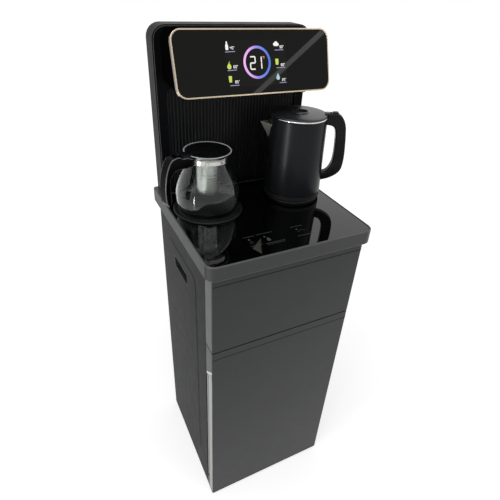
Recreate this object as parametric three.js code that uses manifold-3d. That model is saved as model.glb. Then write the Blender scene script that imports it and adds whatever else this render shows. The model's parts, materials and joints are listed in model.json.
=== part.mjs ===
// A bottom load water cooler of the tea-bar kind: a floor cabinet whose door hides the bottle bay, a
// worktop with a warming plate and a kettle base, and a rear tower that carries a tilted display head.
// Millimetres, +Z up. The origin is on the floor, below the middle of the worktop; the door faces -Y.

import * as THREE from "three";
import { mergeVertices } from "three/addons/utils/BufferGeometryUtils.js";
import { ConvexGeometry } from "three/addons/geometries/ConvexGeometry.js";
import Module from "manifold-3d";

const wasm = await Module();
wasm.setup();

// ---------------------------------------------------------------- driving dimensions

const clearance = 0.3; // between fixed pieces that touch
const runningGap = 0.5; // between pieces that move past each other

// Cabinet
const footHeight = 6;
const footRadius = 18;
const footInsetSide = 32;
const footInsetFront = 58;
const footInsetRear = 34;
const studRadius = 4;
const studLength = 8;
const cabinetWidth = 320;
const cabinetDepth = 311;
const cornerRadius = 3;
const baseFloor = 3;
const baseRimHeight = 8;
const baseRimWall = 3;
const bottleRingRadius = 115;
const bottleRingWall = 3;
const sheet = 2.5; // side and rear panels
const flangeWidth = 12;
const bayHeight = 524; // top of the base floor to the underside of the shelf
const shelfThickness = 3;
const shelfFlange = 12;

// Raised field and carry recess of a side panel
const fieldHeight = 0.8;
const fieldBevel = 1.6;
const fieldRadius = 20;
const fieldFrontInset = 50;
const fieldRearInset = 48;
const fieldBottom = 84;
const fieldTopBelowRim = 91;
const recessLength = 82;
const recessHeight = 29;
const recessRadius = 7;
const recessDepth = 22;
const recessCentreY = 24;
const recessTopBelowRim = 118;
const cupWall = 2;
const cupFlange = 5;

// Front: fixed upper fascia and door
const doorThickness = 32;
const frontWall = 3;
const doorSideGap = 2;
const doorBottomLift = 3; // underside of the door above the top of the base floor
const doorToFasciaGap = 3;
const doorTrimHeight = 17.7;
const hingeEdgeRadius = 9;
const hingePinRadius = 4;
const hingePinReach = 11; // into the door
const hingePinHold = 12; // into the fascia
const hingeStile = 24;
const gripStile = 10;
const gripDepth = 7.5;
const gripWidth = 10; // of the finger channel, from the rear of the door
const gripBottom = 40;
const gripTop = 437;
const gripRunOut = 10;
const stripThickness = 1.6; // pale strip let into the free edge beside the channel
const stripFrontInset = 2;
const stripTop = 455;
const linerThickness = 2.5;
const linerBorder = 20;
const linerDish = 8;
const linerRibCount = 5;
const linerRib = 3;
const catchWidth = 40;
const catchHeight = 10;

// Worktop
const worktopHeight = 747; // floor to the rim of the tray
const trayOverhangSide = 11;
const trayOverhangFront = 11.5;
const trayOverhangRear = 5.5;
const skirtHeight = 30;
const skirtWall = 3;
const trayPlate = 3;
const trayFrontRadius = 18;
const trayRearRadius = 6;
const rimWidth = 3;
const rimLip = 0.8; // rim above the glass
const glassThickness = 4;
const wiringHoleRadius = 12;
const wiringHoleX = 60;

// Warming plate and kettle coupling
const applianceY = 34; // centre line of jug and kettle
const sideReach = 193.2; // how far both handles reach out from the middle
const plateRadius = 69;
const plateSeatRadius = 61;
const plateRise = 3;
const powerBaseRadius = 57;
const powerBaseSeatRadius = 30;
const powerBaseRise = 5.5;
const connectorRadius = 10;
const connectorRise = 5;
const connectorSeatRadius = 12;

// Tower
const towerWidth = 322;
const towerDepth = 45;
const towerHeight = 317; // above the rim
const towerCorner = 25;
const towerWall = 3;
const towerEdge = 2.5;
const towerCover = 2.2;
const ribbedWidth = 280;
const ribbedBottom = 11; // above the rim
const ribbedHeight = 202;
const ribbedRadius = 14;
const ribbedRecess = 2;
const ribPitch = 7;
const ribHeight = 2;
const ribbedPlate = 3;

// Display head
const headWidth = 302;
const faceHeight = 106.6;
const faceTilt = 18.4; // degrees back from upright
const faceBottomAboveRim = 217.4;
const faceBottomAhead = 103; // ahead of the tower's front
const faceRadius = 18;
const trimDepth = 8;
const trimWidth = 2.2;
const faceGlass = 3;
const headWall = 3;
const headRearWidth = 292;
const headRearBottomAboveRim = 218;
const headRearHeight = 95;
const headCableRadius = 15;
const screenWidth = 118;
const screenHeight = 78;
const boardWidth = 210;
const boardHeight = 70;
const boardThickness = 1.6;
const screenDepth = 4.5;
const nozzleRadius = 8;
const nozzleBore = 4;
const nozzleDrop = 5;

// Kettle, in its own frame: +X along the handle, z from the underside of its base
const kettleTurn = -27; // degrees, handle direction
const kettleBottomRadius = 60.5;
const kettleTopRadius = 56.2;
const kettleBaseHeight = 10;
const kettleBodyTop = 160;
const kettleWall = 1.6;
const kettleFloor = 2.2;
const socketRadius = 26;
const socketDepth = 8;
const rimRingHeight = 4.2;
const rimRingProud = 1;
const lidInset = 0.4; // edge of the lid inside the top of the body
const lidEdge = 2.6;
const lidDome = 2;
const lidSkirt = 7;
const lidPlate = 2.5;
const hubRadius = 18;
const hubRise = 1.8;
const fillPortRadius = 10.5;
const fillPortOffset = 5; // from the middle of the lid towards the handle
const hubSlots = 7;
const hingeOutset = 3.3; // hinge line outside the top of the body
const knuckleRadius = 2.6;
const knuckleLength = 12;
const knuckleStub = 1.3;
const handleWidth = 20;
const handleRound = 3.5;
const gripGrooves = 9;
const gripGroovePitch = 5;
const gripGrooveDepth = 1.1;
const gripGrooveWidth = 1.8;
const gripGrooveFrom = 78;
const buttonLength = 11;
const buttonWidth = 11;
const buttonTravel = 2;
const buttonOutset = 14.8;
const buttonProud = 2;
const spoutReach = 19.8;
const spoutTopZ = 147;
const spoutDrop = 34;
const spoutHalfWidth = 24;
const spoutWall = 1.4;

// Jug, in its own frame: +X along the handle, z from the underside of its glass
const jugTurn = 197; // degrees, handle direction
const jugHeight = 118;
const jugBellyRadius = 63.5;
const jugFootRadius = 48;
const jugNeckRadius = 38.5;
const jugRimFlare = 6.7;
const jugWall = 2.2;
const bandBottom = 99.8;
const bandHeight = 10.4;
const bandThickness = 1.2;
const bandTab = 4;
const jugHandleWidth = 20;
const jugHandleRound = 3;
const infuserRadius = 22;
const infuserWall = 0.8;
const infuserBottom = 28.5;
const jugLidBelowRim = 0.8; // the lid lies inside the rim of the glass
const tongueHeight = 3;
const tongueWidth = 18;
const tongueLength = 62;

// Machine compartment
const fanX = -70;
const fanZ = 602;
const fanSize = 92;
const fanDepth = 25;
const fanBore = 43;
const fanBlades = 7;
const fanHub = 18;
const fanPin = 2.5;
const finCount = 12;
const finPitch = 6;
const finThickness = 1.6;
const finDepth = 32;
const sinkPlate = 6;
const sinkHeight = 84;
const tankRadius = 48;
const tankHeight = 118;
const hoseX = 127;
const hoseY = 125;
const hoseRadius = 5;
const pipeRadius = 4;
const capRadius = 26;
const capHeight = 18;
const capWall = 2.5;
const capShelfZ = 318;
const pipeBottomZ = 38;
const pumpRadius = 19;
const pumpLength = 52;
const switchX = 90;
const switchZ = 690;
const rockerWidth = 12;
const rockerHeight = 17;
const rockerPitch = 18;
const rockerTilt = 8;
const glandX = 60;
const glandZ = 566;
const glandRadius = 8;
const glandFlange = 11;
const glandBore = 4;

// ---------------------------------------------------------------- places worked out from them

const trayWidth = cabinetWidth + 2 * trayOverhangSide;
const trayDepth = cabinetDepth + trayOverhangFront + trayOverhangRear;
const trayFrontY = -trayDepth / 2;
const trayRearY = trayDepth / 2;
const sideX = cabinetWidth / 2;
const frontY = trayFrontY + trayOverhangFront;
const rearY = frontY + cabinetDepth;
const doorRearY = frontY + doorThickness;
const sideFrontY = doorRearY + doorSideGap;
const fasciaRearY = sideFrontY - clearance;
const baseTop = footHeight + baseFloor;
const doorBottomZ = baseTop + doorBottomLift;
const shelfBottomZ = baseTop + bayHeight + clearance * 10;
const shelfTopZ = shelfBottomZ + shelfThickness;
const fasciaBottomZ = shelfBottomZ;
const doorTopZ = fasciaBottomZ - doorToFasciaGap;
const doorTrimBottomZ = doorTopZ - doorTrimHeight;
const glassTopZ = worktopHeight - rimLip;
const ledgeZ = glassTopZ - glassThickness - clearance;
const trayUndersideZ = ledgeZ - trayPlate;
const cabinetTopZ = trayUndersideZ - clearance;
const towerFrontY = trayRearY - towerDepth;
const pivotX = sideX - hingeEdgeRadius;
const pivotY = doorRearY - hingeEdgeRadius;
const innerX = sideX - sheet - clearance; // half width between the side panels
const innerFrontY = sideFrontY + sheet + clearance;
const rearPanelY = rearY - sheet; // inner face of the rear panel
const rearFlangeY = rearPanelY - clearance - sheet;
const innerRearY = rearFlangeY - clearance;
const bayCentreY = (innerFrontY + innerRearY) / 2;
const towerBaseZ = worktopHeight + clearance;
const towerTopZ = worktopHeight + towerHeight;
const faceBottomZ = worktopHeight + faceBottomAboveRim;
const faceBottomY = towerFrontY - faceBottomAhead;
const lidRadius = kettleTopRadius - lidInset;
const hingeX = kettleTopRadius + hingeOutset;
const buttonCentreX = kettleTopRadius + buttonOutset;
const spoutTipX = kettleTopRadius + spoutReach;
const jugRimRadius = jugNeckRadius + jugRimFlare;
const kettleZ = glassTopZ + powerBaseRise + 2 * clearance;
const jugZ = glassTopZ + plateRise + 2 * clearance;

// ---------------------------------------------------------------- geometry helpers

const radians = (degrees) => (degrees * Math.PI) / 180;

// Points of an arc, from one angle to another, in degrees.
function arc(cx, cy, radius, from, to, steps) {
  return Array.from({ length: steps + 1 }, (_, i) => {
    const angle = radians(from + ((to - from) * i) / steps);
    return [cx + radius * Math.cos(angle), cy + radius * Math.sin(angle)];
  });
}

const circle = (cx, cy, radius, sides = 24) =>
  arc(cx, cy, radius, 0, 360 - 360 / sides, sides - 1);

// A rectangle with round corners; radii are one number, or lower left, lower right, upper right, upper left.
function roundRect(x0, y0, x1, y1, radii, steps = 4) {
  const [ll, lr, ur, ul] = Array.isArray(radii) ? radii : [radii, radii, radii, radii];
  const corner = (x, y, dx, dy, r, from) =>
    r > 0 ? arc(x + dx * r, y + dy * r, r, from, from + 90, steps) : [[x, y]];
  return [
    ...corner(x0, y0, 1, 1, ll, 180),
    ...corner(x1, y0, -1, 1, lr, 270),
    ...corner(x1, y1, -1, -1, ur, 0),
    ...corner(x0, y1, 1, -1, ul, 90),
  ];
}

// A smooth run of points through the ones given.
function smooth(points, steps) {
  const curve = new THREE.SplineCurve(points.map(([x, y]) => new THREE.Vector2(x, y)));
  return curve.getPoints(steps).map((p) => [p.x, p.y]);
}

const shapeOf = (points) => new THREE.Shape(points.map(([x, y]) => new THREE.Vector2(x, y)));

const axes = {
  xy: new THREE.Matrix4(),
  xz: new THREE.Matrix4().makeBasis(
    new THREE.Vector3(1, 0, 0),
    new THREE.Vector3(0, 0, 1),
    new THREE.Vector3(0, -1, 0),
  ),
  yz: new THREE.Matrix4().makeBasis(
    new THREE.Vector3(0, 1, 0),
    new THREE.Vector3(0, 0, 1),
    new THREE.Vector3(1, 0, 0),
  ),
};

// Straight prisms of an outline in the XY, XZ or YZ plane, between two values of the third axis.
function prism(points, from, to, plane = "xy") {
  const made = new THREE.ExtrudeGeometry(shapeOf(points), { depth: to - from, bevelEnabled: false });
  made.translate(0, 0, plane === "xz" ? -to : from);
  return made.applyMatrix4(axes[plane]);
}

// The same with rounded long edges; the outline keeps its size.
function softPrism(points, from, to, round, plane = "xy", steps = 2) {
  const made = new THREE.ExtrudeGeometry(shapeOf(points), {
    depth: to - from - 2 * round,
    bevelThickness: round,
    bevelSize: round,
    bevelOffset: -round,
    bevelSegments: steps,
  });
  made.translate(0, 0, round + (plane === "xz" ? -to : from));
  return made.applyMatrix4(axes[plane]);
}

const block = (x0, x1, y0, y1, z0, z1) =>
  new THREE.BoxGeometry(x1 - x0, y1 - y0, z1 - z0).translate(
    (x0 + x1) / 2,
    (y0 + y1) / 2,
    (z0 + z1) / 2,
  );

// A turned piece about the Z axis. The profile is [radius, z], from the axis to the axis or closed.
function turned(profile, sides = 32) {
  const closed = profile[0][0] > 0 || profile[profile.length - 1][0] > 0;
  const points = (closed ? [...profile, profile[0]] : profile).map(([r, z]) => new THREE.Vector2(r, z));
  return new THREE.LatheGeometry(points, sides).rotateX(Math.PI / 2);
}

const rod = (x, y, radius, z0, z1, sides = 20) =>
  prism(circle(x, y, radius, sides), z0, z1);

// A closed skin over rings that hold equally many points; the end rings are convex.
function loft(rings) {
  const count = rings[0].length;
  const index = [];
  for (let r = 0; r + 1 < rings.length; r++)
    for (let i = 0; i < count; i++) {
      const j = (i + 1) % count;
      const [a, b] = [r * count + i, r * count + j];
      index.push(a, b, b + count, a, b + count, a + count);
    }
  const last = (rings.length - 1) * count;
  for (let i = 1; i + 1 < count; i++) index.push(0, i + 1, i, last, last + i, last + i + 1);
  const made = new THREE.BufferGeometry();
  made.setAttribute("position", new THREE.Float32BufferAttribute(rings.flat().flat(), 3));
  made.setIndex(index);
  return made;
}

// ---------------------------------------------------------------- joins and cuts

function solid(geometry) {
  const bare = geometry.clone();
  bare.deleteAttribute("normal");
  bare.deleteAttribute("uv");
  const merged = mergeVertices(bare, 1e-4);
  const at = merged.attributes.position.array;
  const corner = merged.index.array;
  const triangles = [];
  let volume = 0;
  for (let i = 0; i < corner.length; i += 3) {
    const [a, b, c] = [corner[i], corner[i + 1], corner[i + 2]];
    if (a === b || b === c || a === c) continue;
    triangles.push(a, b, c);
    const [p, q, r] = [a, b, c].map((v) => new THREE.Vector3().fromArray(at, 3 * v));
    volume += p.dot(q.cross(r));
  }
  if (volume < 0)
    for (let i = 0; i < triangles.length; i += 3)
      [triangles[i + 1], triangles[i + 2]] = [triangles[i + 2], triangles[i + 1]];
  return new wasm.Manifold(
    new wasm.Mesh({
      numProp: 3,
      vertProperties: new Float32Array(at),
      triVerts: new Uint32Array(triangles),
    }),
  );
}

function geometryOf(made) {
  const mesh = made.getMesh();
  const geometry = new THREE.BufferGeometry();
  geometry.setAttribute("position", new THREE.BufferAttribute(new Float32Array(mesh.vertProperties), 3));
  geometry.setIndex(new THREE.BufferAttribute(new Uint32Array(mesh.triVerts), 1));
  return geometry;
}

const join = (...pieces) => geometryOf(pieces.map(solid).reduce((a, b) => a.add(b)));
const cut = (piece, ...tools) => geometryOf(
  tools.map(solid).reduce((a, b) => a.subtract(b), solid(piece)),
);
const common = (a, b) => geometryOf(solid(a).intersect(solid(b)));
const mirrored = (geometry) => geometryOf(solid(geometry.clone().scale(-1, 1, 1)));
const moved = (geometry, x, y, z) => geometry.clone().translate(x, y, z);

// ---------------------------------------------------------------- materials

const finish = (color, roughness, metalness = 0, more = {}) => ({ color, roughness, metalness, ...more });
const finishes = {
  cabinet: finish(0x3e4041, 0.45),
  blackPlastic: finish(0x17181a, 0.4),
  satinBlack: finish(0x1d1f21, 0.5),
  blackGlass: finish(0x060708, 0.05),
  roseGold: finish(0xd0a58c, 0.25, 1),
  steel: finish(0xc9c8c2, 0.22, 1),
  matteBlack: finish(0x1b1d1f, 0.6),
  clearGlass: finish(0xdfe7e6, 0.03, 0, { transparent: true, opacity: 0.35 }),
  rubber: finish(0x111111, 0.9),
  whitePlastic: finish(0xd8d9d6, 0.5),
  circuit: finish(0x1f5a3a, 0.6),
  aluminium: finish(0xb4b7ba, 0.35, 1),
  silicone: finish(0xcfd3d2, 0.5),
  greyPlastic: finish(0x6b6e70, 0.5),
  palePlastic: finish(0xb4b4ae, 0.4),
};

const machine = new THREE.Group();

function place(name, geometry, kind, group = machine) {
  const mesh = new THREE.Mesh(
    geometryOf(solid(geometry)),
    new THREE.MeshStandardMaterial(finishes[kind]),
  );
  mesh.name = name;
  group.add(mesh);
}

// ---------------------------------------------------------------- kettle

const kettle = new THREE.Group();
kettle.rotation.z = radians(kettleTurn);
kettle.position.set(0, applianceY, kettleZ);
const kettleSides = 28;
const kettleRadiusAt = (z) =>
  kettleBottomRadius + ((kettleTopRadius - kettleBottomRadius) * z) / kettleBodyTop;

// The wedge of the pouring lip, drawn in by a wall thickness.
function spoutWedge(inset, above) {
  const root = kettleTopRadius - 8;
  const top = spoutTopZ + above;
  const slope = 1 + (above / spoutDrop);
  return new ConvexGeometry([
    new THREE.Vector3(-root - (spoutTipX - root - 1.6 * inset) * slope, 0, top),
    new THREE.Vector3(-root, (spoutHalfWidth - 1.6 * inset) * slope, top),
    new THREE.Vector3(-root, -(spoutHalfWidth - 1.6 * inset) * slope, top),
    new THREE.Vector3(-root, 0, spoutTopZ - spoutDrop + 1.2 * inset),
    new THREE.Vector3(-root - 8 + inset, 0, spoutTopZ - spoutDrop + 1.2 * inset),
  ]);
}

function kettleOuter(gap) {
  return turned(
    [
      [0, kettleBaseHeight - 5],
      [kettleRadiusAt(kettleBaseHeight - 5) + gap, kettleBaseHeight - 5],
      [kettleTopRadius + gap, kettleBodyTop],
      [kettleTopRadius + gap, kettleBodyTop + 0.2],
      [kettleTopRadius + rimRingProud + gap, kettleBodyTop + 0.2],
      [kettleTopRadius + rimRingProud + gap, kettleBodyTop + 25],
      [0, kettleBodyTop + 25],
    ],
    kettleSides,
  );
}

function makeKettle() {
  const bodyBottom = kettleBaseHeight + clearance;
  const base = turned(
    [
      [0, socketDepth],
      [socketRadius, socketDepth],
      [socketRadius, 0],
      [kettleBottomRadius - 1.5, 0],
      [kettleBottomRadius, 1.5],
      [kettleBottomRadius, kettleBaseHeight],
      [0, kettleBaseHeight],
    ],
    kettleSides,
  );
  place("kettle_base", base, "blackPlastic", kettle);

  const shell = turned(
    [
      [0, bodyBottom],
      [kettleRadiusAt(bodyBottom), bodyBottom],
      [kettleTopRadius, kettleBodyTop],
      [kettleTopRadius - kettleWall, kettleBodyTop],
      [kettleRadiusAt(bodyBottom + kettleFloor) - kettleWall, bodyBottom + kettleFloor],
      [0, bodyBottom + kettleFloor],
    ],
    kettleSides,
  );
  const inside = turned(
    [
      [0, bodyBottom + kettleFloor],
      [kettleTopRadius - 4, bodyBottom + kettleFloor],
      [kettleTopRadius - 4, kettleBodyTop + 20],
      [0, kettleBodyTop + 20],
    ],
    kettleSides,
  );
  const mouth = cut(spoutWedge(2 * spoutWall, 0), inside);
  place("kettle_body", cut(shell, mouth), "matteBlack", kettle);

  const spout = cut(spoutWedge(0, 0), spoutWedge(spoutWall, 6), kettleOuter(clearance));
  place("kettle_spout", spout, "steel", kettle);

  const ringBottom = kettleBodyTop + clearance;
  const ringTop = ringBottom + rimRingHeight;
  const ringOuter = kettleTopRadius + rimRingProud;
  const ringInner = kettleTopRadius - kettleWall - 0.6;
  const ring = turned(
    [
      [ringInner, ringBottom],
      [ringOuter - 0.8, ringBottom],
      [ringOuter, ringBottom + 1],
      [ringOuter, ringTop - 1.2],
      [ringOuter - 1, ringTop],
      [ringInner, ringTop],
    ],
    kettleSides,
  );
  place("kettle_rim", ring, "steel", kettle);
  makeKettleLid(ringTop + clearance, ringInner - 2 * clearance);
  makeKettleHandle(ringTop + clearance);
}

function makeKettleLid(bottom, skirtRadius) {
  const edgeTop = bottom + lidEdge;
  const domeTop = edgeTop + lidDome;
  const hingeZ = edgeTop + 1;
  const cover = turned(
    [
      [0, bottom - 0.5],
      [skirtRadius - 2, bottom - 0.5],
      [skirtRadius - 2, bottom - lidSkirt],
      [skirtRadius, bottom - lidSkirt],
      [skirtRadius, bottom],
      [lidRadius, bottom],
      [lidRadius, edgeTop - 0.8],
      [lidRadius - 1.2, edgeTop],
      [lidRadius * 0.7, edgeTop + lidDome * 0.6],
      [hubRadius + 1.5, domeTop],
      [hubRadius, domeTop + hubRise],
      [0, domeTop + hubRise],
    ],
    kettleSides,
  );
  const fillPort = rod(fillPortOffset, 0, fillPortRadius, bottom - 5, domeTop + 10, 20);
  // Steam slots over the half of the hub that the port leaves free.
  const slots = Array.from({ length: hubSlots }, (_, i) =>
    block(hubRadius - 5.5, hubRadius - 2, -1, 1, domeTop + hubRise - 1.4, domeTop + hubRise + 1).rotateZ(
      Math.PI / 2 + (i * Math.PI) / (hubSlots - 1),
    ),
  );
  const half = knuckleLength / 2;
  const arm = block(lidRadius - 5, hingeX, -half, half, bottom + 1, hingeZ + knuckleRadius - 0.6);
  const knuckle = prism(circle(hingeX, hingeZ, knuckleRadius, 16), -half, half, "xz");
  const stub = prism(circle(hingeX, hingeZ, knuckleStub, 10), -half - 2.5, half + 2.5, "xz");
  place("kettle_lid", join(cut(cover, fillPort, ...slots), arm, knuckle, stub), "satinBlack", kettle);
}

function makeKettleHandle(lidBottom) {
  const hingeZ = lidBottom + lidEdge + 1;
  const crownZ = lidBottom + 6;
  // Bow of the handle: distance out from the body, drop below the crown.
  const bowed = ([out, drop]) => [kettleRadiusAt(crownZ - drop) + out, crownZ - drop];
  const outer = smooth(
    [
      [4, 0.8],
      [10.1, 0],
      [17.1, 0.2],
      [24, 2.6],
      [29.6, 7.2],
      [34.6, 15.3],
      [38, 25.8],
      [39.8, 38.8],
      [41.2, 52.8],
      [42.8, 78.8],
      [42.2, 100.8],
      [38.8, 115.8],
      [30, 126.3],
      [15.5, 134.8],
      [1, 139.4],
    ],
    21,
  );
  const inner = smooth(
    [
      [2, 121.4],
      [8, 119],
      [13.6, 112.8],
      [18.8, 99.8],
      [20.6, 82.8],
      [20.4, 58.8],
      [19.2, 40.8],
      [16, 29.8],
      [10.5, 25],
      [5, 23.6],
    ],
    15,
  );
  const half = handleWidth / 2;
  const outline = [[-2, 2.2], ...outer, [-5.8, 141], [-5.2, 122], ...inner, [-2.6, 23]].map(bowed);
  const bow = softPrism(outline, -half, half, handleRound, "xz", 1);
  const notchHalf = knuckleLength / 2 + runningGap;
  const notch = block(
    kettleTopRadius - 6,
    hingeX + knuckleRadius + runningGap,
    -notchHalf,
    notchHalf,
    lidBottom - 2,
    crownZ + 10,
  );
  const bore = prism(circle(hingeX, hingeZ, knuckleStub + clearance, 12), -half - 1, half + 1, "xz");
  const reach = knuckleLength / 2 + 2.5 + clearance;
  const blind = common(bore, block(hingeX - 9, hingeX + 10, -reach, reach, lidBottom - 5, crownZ + 10));
  const buttonTop = crownZ + buttonProud;
  const pocketFloor = buttonTop - 8;
  const pocket = block(
    buttonCentreX - buttonLength / 2 - clearance,
    buttonCentreX + buttonLength / 2 + clearance,
    -buttonWidth / 2 - clearance,
    buttonWidth / 2 + clearance,
    pocketFloor,
    crownZ + 10,
  );
  const grooves = Array.from({ length: gripGrooves }, (_, i) => {
    const z = gripGrooveFrom + i * gripGroovePitch;
    const gripX = kettleRadiusAt(z) + 20.6;
    const around = block(gripX - 8, gripX + 35, -half - 5, half + 5, z, z + gripGrooveWidth);
    const keepHalf = half - gripGrooveDepth;
    const keep = block(
      gripX + gripGrooveDepth,
      gripX + 45,
      -keepHalf,
      keepHalf,
      z - 1,
      z + gripGrooveWidth + 1,
    );
    return cut(around, keep);
  });
  const handle = cut(bow, kettleOuter(clearance), notch, blind, pocket, ...grooves);
  place("kettle_handle", handle, "blackPlastic", kettle);

  const button = softPrism(
    roundRect(
      buttonCentreX - buttonLength / 2,
      -buttonWidth / 2,
      buttonCentreX + buttonLength / 2,
      buttonWidth / 2,
      2.5,
      3,
    ),
    pocketFloor + buttonTravel + clearance,
    buttonTop,
    0.8,
    "xy",
    1,
  );
  place("lid_button", button, "greyPlastic", kettle);
}

// ---------------------------------------------------------------- jug

const jug = new THREE.Group();
jug.rotation.z = radians(jugTurn);
jug.position.set(0, applianceY, jugZ);

const jugSides = 24;

function makeJug() {
  const outer = [
    [0, 0],
    [jugFootRadius, 0],
    [jugFootRadius + 5, 1.6],
    [jugBellyRadius - 3.5, 9],
    [jugBellyRadius, 24],
    [jugBellyRadius - 1.4, 42],
    [jugBellyRadius - 7, 62],
    [jugNeckRadius + 10, 80],
    [jugNeckRadius + 3.2, 92],
    [jugNeckRadius, 102],
    [jugNeckRadius, 110.4],
    [jugNeckRadius + 2.2, 113.4],
    [jugRimRadius - 0.6, jugHeight - 1.6],
    [jugRimRadius, jugHeight - 0.8],
    [jugRimRadius - 0.7, jugHeight],
  ];
  const inner = outer
    .slice(3, 13)
    .reverse()
    .map(([r, z]) => [r - jugWall, z]);
  const glass = turned(
    [
      ...outer,
      [jugRimRadius - jugWall + 0.2, jugHeight - 0.4],
      ...inner,
      [jugFootRadius, jugWall + 0.8],
      [0, jugWall + 0.8],
    ],
    jugSides,
  );
  place("jug_glass", glass, "clearGlass", jug);

  const bandInner = jugNeckRadius + 0.8;
  const ring = turned(
    [
      [bandInner, bandBottom],
      [bandInner + bandThickness, bandBottom],
      [bandInner + bandThickness, bandBottom + bandHeight],
      [bandInner, bandBottom + bandHeight],
    ],
    jugSides,
  );
  const tabs = [-1.6, 1.6].map((side) =>
    block(
      bandInner + 0.4,
      bandInner + bandTab,
      side - 0.6,
      side + 0.6,
      bandBottom + 0.6,
      bandBottom + bandHeight - 0.6,
    ),
  );
  const bolt = prism(circle(bandInner + bandTab - 1.6, bandBottom + bandHeight / 2, 1.2, 8), -2, 2, "xz");
  const closure = join(...tabs, bolt).rotateZ(radians(-jugTurn - 90 - 4));
  place("jug_band", join(ring, closure), "steel", jug);
  makeJugHandle(bandInner + bandThickness + clearance);
  makeInfuser();
}

function makeJugHandle(rootX) {
  // Bow of the handle: distance out from its root, height. Its arm steps up behind the lid's tongue.
  const bowed = ([out, z]) => [rootX + out, z];
  const step = tongueLength + 2 - rootX;
  const top = jugHeight + clearance + tongueHeight;
  const under = [
    [0, 112.5],
    [5, 113.2],
    [8, jugHeight - 2],
    [step, jugHeight - 1],
  ];
  const outer = smooth(
    [
      [step, top - 0.6],
      [step + 11, top],
      [44.6, 117.8],
      [51.8, 107.5],
      [57.6, 91],
      [61.2, 66],
      [60.4, 42],
      [56.6, 31],
    ],
    14,
  );
  const inner = smooth(
    [
      [50.4, 31.5],
      [48, 44],
      [49.3, 67],
      [48.3, 84],
      [40.4, 95.4],
      [28.2, 97.8],
      [14, 96.4],
      [0, 96.6],
    ],
    14,
  );
  const half = jugHandleWidth / 2;
  const outline = [...under, ...outer, ...inner].map(bowed);
  const grip = softPrism(outline, -half, half, jugHandleRound, "xz", 1);
  place("jug_handle", grip, "blackPlastic", jug);
}

function makeInfuser() {
  const flangeZ = 113.6;
  const flangeTop = flangeZ + 1;
  const flangeRadius = jugNeckRadius - 0.3;
  const r = infuserRadius;
  const w = infuserWall;
  const bottom = infuserBottom;
  const basket = turned(
    [
      [0, bottom],
      [r - 9, bottom],
      [r - 3.6, bottom + 2.4],
      [r - 0.8, bottom + 8],
      [r, bottom + 16],
      [r, flangeZ],
      [flangeRadius, flangeZ],
      [flangeRadius, flangeTop],
      [r - w, flangeTop],
      [r - w, bottom + 16],
      [r - 1.6, bottom + 8.4],
      [r - 4.2, bottom + 3.2],
      [r - 9, bottom + w],
      [0, bottom + w],
    ],
    24,
  );
  place("infuser", basket, "steel", jug);

  const lidBottom = flangeTop + clearance;
  const lidTop = jugHeight - jugLidBelowRim;
  const edge = jugRimRadius - jugWall - 0.9;
  const disc = turned(
    [
      [0, lidBottom],
      [jugNeckRadius, lidBottom],
      [edge, lidTop - 0.5],
      [edge - 0.5, lidTop],
      [edge - 4, lidTop],
      [edge - 5, lidTop - 0.6],
      [0, lidTop - 0.6],
    ],
    jugSides,
  );
  const tongueBottom = jugHeight + clearance;
  const half = tongueWidth / 2;
  const neck = block(24, edge - 2, -half + 2, half - 2, lidTop - 1.5, tongueBottom + 1);
  const tongue = softPrism(
    [
      [20, -half + 5],
      [24, -half + 1],
      [tongueLength - 4, -half],
      [tongueLength, -half + 3],
      [tongueLength, half - 3],
      [tongueLength - 4, half],
      [24, half - 1],
      [20, half - 5],
    ],
    tongueBottom,
    tongueBottom + tongueHeight,
    1,
    "xy",
    1,
  );
  place("jug_lid", join(disc, neck, tongue), "blackPlastic", jug);
}

makeKettle();
makeJug();
machine.add(kettle, jug);
machine.updateMatrixWorld(true);
kettle.position.x = sideReach - new THREE.Box3().setFromObject(kettle, true).max.x;
jug.position.x = -sideReach - new THREE.Box3().setFromObject(jug, true).min.x;
const kettleX = kettle.position.x;
const jugX = jug.position.x;

// ---------------------------------------------------------------- cabinet

const footPlaces = [
  ["foot_front_left", -1, frontY + footInsetFront],
  ["foot_front_right", 1, frontY + footInsetFront],
  ["foot_rear_left", -1, rearY - footInsetRear],
  ["foot_rear_right", 1, rearY - footInsetRear],
];
const footX = sideX - footInsetSide;

function frontOutline(rear) {
  return [
    [-sideX, rear],
    ...arc(-sideX + cornerRadius, frontY + cornerRadius, cornerRadius, 180, 270, 4),
    ...arc(sideX - cornerRadius, frontY + cornerRadius, cornerRadius, 270, 360, 4),
    [sideX, rear],
  ];
}

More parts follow.
